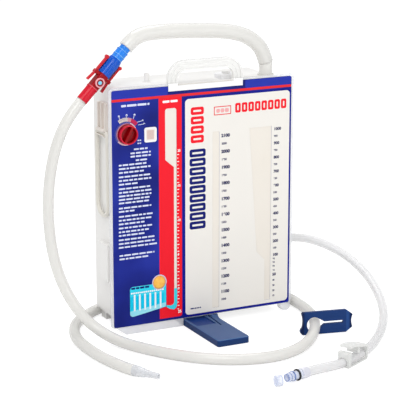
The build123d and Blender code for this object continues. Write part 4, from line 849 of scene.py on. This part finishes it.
def print_film():
    """Fields of colour, rules and frames."""
    ink("head_band", "head", [
        rounded(-114.6, -45.2, 276.6, 286.1, 2.0), rounded(53.8, 114.6, 276.6, 286.1, 2.0)])
    ink("red_rule", "line", [rounded(-114.8, 114.8, 273.5, 276.4)], OVER)
    ink("panel_border", "border", [
        rounded(-27.6, 114.4, 10.6, 272.2, 5.5), rounded(-23.7, 112.8, 12.8, 269.7, 4.5)])
    ink("panel_field", "panel", [
        rounded(-23.7, 112.8, 12.8, 269.7, 4.5), FIRST_STRIP, SECOND_STRIP])
    column = [(-57, 274), (-57, 66.9)]
    column += arc_points(*DISC_AT, 9.4, 88, 2, 10)
    column += [(-48.3, 56), (-48.3, 26.7), (-57, 25.5), (-57, 12.8)]
    column += arc_points(-31.0, 15.8, 3.0, -90, 0, 6) + [(-28, 274)]
    ink("seal_column", "red", [column, SEAL_WINDOW])
    channel = [(-38.4, 47.5), (-38.4, 31.0), (-39.5, 28.6), (-42.5, 27.4), (-48.2, 28.6),
               (-48.2, 26.2), (-44.0, 23.6), (-38.5, 22.0), (-35.4, 24.4), (-34.4, 29.0),
               (-34.4, 47.5)]
    ink("seal_return", "cyan", [channel], OVER)
    for name, outer, inner in (("pale", 9.2, 8.5), ("rose", 8.5, 7.9)):
        ink("disc_ring_" + name, name, [arc_points(*DISC_AT, outer, 0, 352, 40),
                                        arc_points(*DISC_AT, inner, 0, 352, 40)], OVER)


SEAL_PITCH = 8.2


def print_seal_scale():
    """White ticks and their numbers beside the water-seal slot."""
    for name, first, reach in (("long", 206.5, 2.4), ("short", 202.4, 1.5)):
        repeated("seal_ticks_" + name, LATTICE, Matrix.Identity(4), Columns=1, Rows=23,
                 Start=on_film(-34.0 + reach / 2, first), Column_Step=(0, 0, 0),
                 Row_Step=(0, 0, -SEAL_PITCH * MM), Block=(reach * MM, INK * MM, 0.9 * MM),
                 Turn=(0, 0, 0), Finish=INKS["white"].material)
    marks = [(str(20 - 5 * k), -33.4, 210.9 - 5 * SEAL_PITCH * k, 2.7, 0.16, 0.95)
             for k in range(5)]
    marks.append(("25", -33.4, 18.6, 3.3, 0.2, 0.95))
    figures("seal_figures", "white", marks)


FIRST_PITCH = 18.8
SECOND_PITCH = 17.02


def print_volume_scales():
    """Graduation numbers of the two collection columns."""
    marks = []
    for index in range(11):
        z = 223.1 - FIRST_PITCH * index
        marks.append((str(2100 - 100 * index), 22.9, z, 3.6, 0.3, 1.1))
        marks.append((str(2050 - 100 * index), 23.2, z - FIRST_PITCH / 2, 2.4, 0.16, 1.0))
    for index in range(10):
        z = 224.8 - SECOND_PITCH * index
        marks.append((str(1000 - 100 * index), 92.2, z, 3.3, 0.24, 1.04))
        if index < 9:
            marks.append((str(950 - 100 * index), 92.3, z - 8.5, 2.3, 0.14, 1.0))
    for value, z in ((90, 66.7), (80, 62.3), (70, 57.6), (60, 52.4), (50, 47.3), (40, 40.2),
                     (30, 33.7), (20, 27.2), (10, 20.9)):
        size, bold = (3.3, 0.24) if value == 50 else (2.1, 0.14)
        marks.append((str(value), 92.1, z, size, bold, 1.02))
    figures("volume_figures", "figures", marks)


def bar_row(seed, left, right, z, height, sizes=(3.0, 8.5), gap=1.1):
    """Plain bars of uneven length that fill a row."""
    pick = random.Random(seed)
    bars = []
    x = left
    while x < right - 1.5:
        end = min(x + pick.uniform(*sizes), right)
        if right - end < 2.0:
            end = right
        bars.append(rounded(x, end, z - height / 2, z + height / 2, height * 0.3, 3))
        x = end + gap
    return bars


PANEL_ROWS = [
    (-88.1, -71.0, 217.8), (-92.3, -67.1, 213.4), (-92.3, -67.1, 209.6), (-85.9, -71.9, 205.0),
    (-106.8, -72.7, 200.8), (-106.8, -64.9, 196.6), (-106.9, -75.9, 192.2),
    (-107.0, -68.1, 187.2), (-107.0, -66.6, 182.9), (-107.1, -83.8, 178.6),
    (-107.1, -68.2, 173.4), (-107.2, -66.7, 169.1), (-107.2, -66.7, 164.9),
    (-107.3, -69.1, 160.8), (-107.3, -69.9, 156.8),
    (-107.4, -66.8, 150.9), (-107.5, -88.0, 147.0),
    (-107.5, -65.3, 141.2), (-107.6, -67.0, 136.7), (-107.6, -75.6, 132.4),
    (-107.7, -66.2, 127.6), (-107.8, -70.2, 123.1), (-107.8, -75.8, 118.9),
    (-107.9, -63.2, 113.8), (-107.9, -63.2, 109.3), (-108.0, -60.1, 104.9),
    (-107.3, -63.3, 95.2), (-107.4, -71.3, 91.1),
]


def print_panel_rows():
    """Plain bars in rows on the blue panel, each row from its left to its right at a height."""
    ink("panel_title", "pale", bar_row(1, -103.2, -68.3, 268.4, 2.5, (5, 13)), OVER)
    ink("seal_title", "white", bar_row(5, -51.9, -33.1, 269.0, 2.7, (8, 9)), OVER)
    ink("dial_note", "pale", bar_row(2, -83.6, -79.0, 227.6, 1.5, (2.2, 2.3), 0.5)
        + bar_row(3, -83.6, -79.0, 224.2, 1.5, (2.2, 2.3), 0.5), OVER)
    bars = []
    for index, (left, right, z) in enumerate(PANEL_ROWS):
        bars += bar_row(10 + index, left, right, z, 1.9)
    ink("panel_rows", "pale", bars, OVER)


def print_dial_marks():
    """Arc of pale to red stripes over the dial, and its leader marks."""
    place = Matrix.Translation(on_film(*DIAL_AT)) @ ON_FACE
    for name, start, end, count in (("cream", 120, 84, 9), ("rose", 80, 68, 4),
                                    ("line", 64, 38, 7)):
        repeated("dial_stripes_" + name, FAN, place, Count=count, Radius=16.2 * MM,
                 First_Angle=math.radians(start), Sweep=math.radians(end - start),
                 Block=(4.4 * MM, INK * MM, 0.85 * MM), Finish=INKS[name].material)
    leaders = []
    for dot_x, dot_z, foot_x, foot_z in (
            (-106.1, 257.1, -104.9, 252.6), (-96.6, 257.7, -97.0, 254.9),
            (-86.9, 257.4, -88.6, 252.8), (-76.9, 249.8, -84.4, 248.6),
            (-75.1, 245.8, -82.4, 245.4)):
        start, end = Vector((dot_x, dot_z)), Vector((foot_x, foot_z))
        run = (end - start).normalized()
        across = Vector((-run.y, run.x)) * 0.3
        leaders.append([tuple(start + across), tuple(start - across), tuple(end - across),
                        tuple(end + across)])
        leaders.append(arc_points(dot_x, dot_z, 1.25, 0, 330, 10))
    ink("dial_leaders", "pale", leaders, OVER)


FRAME_WALL = 0.37
OUTER_CORNER = 0.28
INNER_CORNER = 0.1


def blocks(left, right, low, high, count, upright, share=0.86):
    """Row of plain frames in a field, side by side or one above another."""
    outlines = []
    span = (high - low if upright else right - left) / count
    for index in range(count):
        start = (low if upright else left) + span * index
        end = start + span * share
        box = (left, right, start, end) if upright else (start, end, low, high)
        least = min(box[1] - box[0], box[3] - box[2])
        wall = FRAME_WALL * least
        outlines.append(rounded(*box, OUTER_CORNER * least))
        outlines.append(rounded(box[0] + wall, box[1] - wall, box[2] + wall, box[3] - wall,
                                INNER_CORNER * least))
    return outlines


def print_panel_fields():
    """Plain frames and bars on the white panel."""
    ink("tall_blocks", "navy", blocks(-18.2, 2.6, 115.6, 212.0, 9, True), OVER)
    ink("tall_blocks_top", "red", blocks(-16.6, 0.2, 217.8, 261.6, 4, True, 0.82), OVER)
    ink("box_outline", "line", [rounded(13.1, 35.4, 247.8, 258.0, 0.8),
                                rounded(14.1, 34.4, 248.8, 257.0, 0.5)], OVER)
    ink("box_mark", "rose", bar_row(21, 16.2, 32.4, 252.9, 4.6, (4.6, 4.8), 0.9), OVER)
    ink("wide_blocks", "red", blocks(40.7, 109.8, 248.6, 260.0, 8, False, 0.84), OVER)
    ink("panel_foot_mark", "navy", bar_row(22, -17.2, -3.4, 19.6, 1.5, (2.6, 4.6), 0.6), OVER)


def print_meter():
    """Dark bars and a row of pale bars on the meter, which stands out from the film."""
    for name, color, bars in (
            ("meter_title", "navy", bar_row(4, -93.1, -70.4, 54.3, 2.3, (4, 8), 0.8)),
            ("meter_row", "white", bar_row(6, -93.6, -52.0, 48.6, 1.9, (1.6, 2.4), 0.6))):
        piece = ink(name, color, bars, OVER)
        piece.data.transform(Matrix.Translation((0, -METER_RISE * MM, 0)))


def print_float_hatch():
    """Fine woven mark over the pane of the float window."""
    step = 0.98 * MM
    repeated("float_hatch", LATTICE, Matrix.Identity(4), Columns=9, Rows=11,
             Start=(-71.4 * MM, -0.75 * MM, 228.0 * MM), Column_Step=(step, 0, 0),
             Row_Step=(0, 0, step), Block=(0.5 * MM, INK * MM, 0.5 * MM),
             Turn=(0, math.radians(45), 0), Finish=INKS["hatch"].material)


print_film()
print_float_hatch()
print_seal_scale()
print_volume_scales()
print_panel_rows()
print_dial_marks()
print_panel_fields()
print_meter()


# Stage and lights

GLOW = 1.5
GLOW_SHARE = 0.5


def white_stage():
    """Floor that glows to the camera alone, and still takes a soft shadow."""
    bpy.ops.mesh.primitive_plane_add(size=8, location=(0, 1.5, -0.0002))
    floor = bpy.context.object
    floor.name = "floor"
    material = bpy.data.materials.new("floor_white")
    material.use_nodes = True
    tree = material.node_tree
    tree.nodes.clear()
    diffuse = tree.nodes.new("ShaderNodeBsdfDiffuse")
    diffuse.inputs["Color"].default_value = (0.9, 0.9, 0.9, 1)
    glow = tree.nodes.new("ShaderNodeEmission")
    glow.inputs["Color"].default_value = (1, 1, 1, 1)
    glow.inputs["Strength"].default_value = GLOW
    path = tree.nodes.new("ShaderNodeLightPath")
    share = tree.nodes.new("ShaderNodeMath")
    share.operation = "MULTIPLY"
    share.inputs[1].default_value = GLOW_SHARE
    tree.links.new(path.outputs["Is Camera Ray"], share.inputs[0])
    mix = tree.nodes.new("ShaderNodeMixShader")
    out = tree.nodes.new("ShaderNodeOutputMaterial")
    tree.links.new(share.outputs[0], mix.inputs[0])
    tree.links.new(diffuse.outputs[0], mix.inputs[1])
    tree.links.new(glow.outputs[0], mix.inputs[2])
    tree.links.new(mix.outputs[0], out.inputs["Surface"])
    floor.data.materials.append(material)


def white_world(strength):
    """Even white surroundings, pure white to the camera and through clear plastic."""
    world = bpy.data.worlds.new("surroundings")
    bpy.context.scene.world = world
    world.use_nodes = True
    tree = world.node_tree
    back = tree.nodes["Background"]
    back.inputs["Color"].default_value = (1, 1, 1, 1)
    path = tree.nodes.new("ShaderNodeLightPath")
    seen = tree.nodes.new("ShaderNodeMath")
    seen.operation = "MAXIMUM"
    tree.links.new(path.outputs["Is Camera Ray"], seen.inputs[0])
    tree.links.new(path.outputs["Is Transmission Ray"], seen.inputs[1])
    level = tree.nodes.new("ShaderNodeMath")
    level.operation = "MULTIPLY_ADD"
    level.inputs[1].default_value = 1.0 - strength
    level.inputs[2].default_value = strength
    tree.links.new(seen.outputs[0], level.inputs[0])
    tree.links.new(level.outputs[0], back.inputs["Strength"])


def lamp(name, place, target, size, power):
    """Square lamp at a place, turned to a target."""
    data = bpy.data.lights.new(name, "AREA")
    data.shape = "SQUARE"
    data.size = size
    data.energy = power
    light = added(name, data)
    light.location = place
    light.rotation_euler = (Vector(target) - Vector(place)).to_track_quat("-Z", "Y").to_euler()


white_stage()
white_world(0.62)
lamp("key", (-1.3, -1.6, 1.9), (0, 0, 0.15), 1.2, 21)
lamp("fill", (0.7, -2.1, 0.4), (0, 0, 0.1), 1.4, 11)
lamp("top", (0.1, 0.6, 2.2), (0, 0, 0.1), 1.4, 21)
bpy.context.scene.view_settings.view_transform = "Standard"
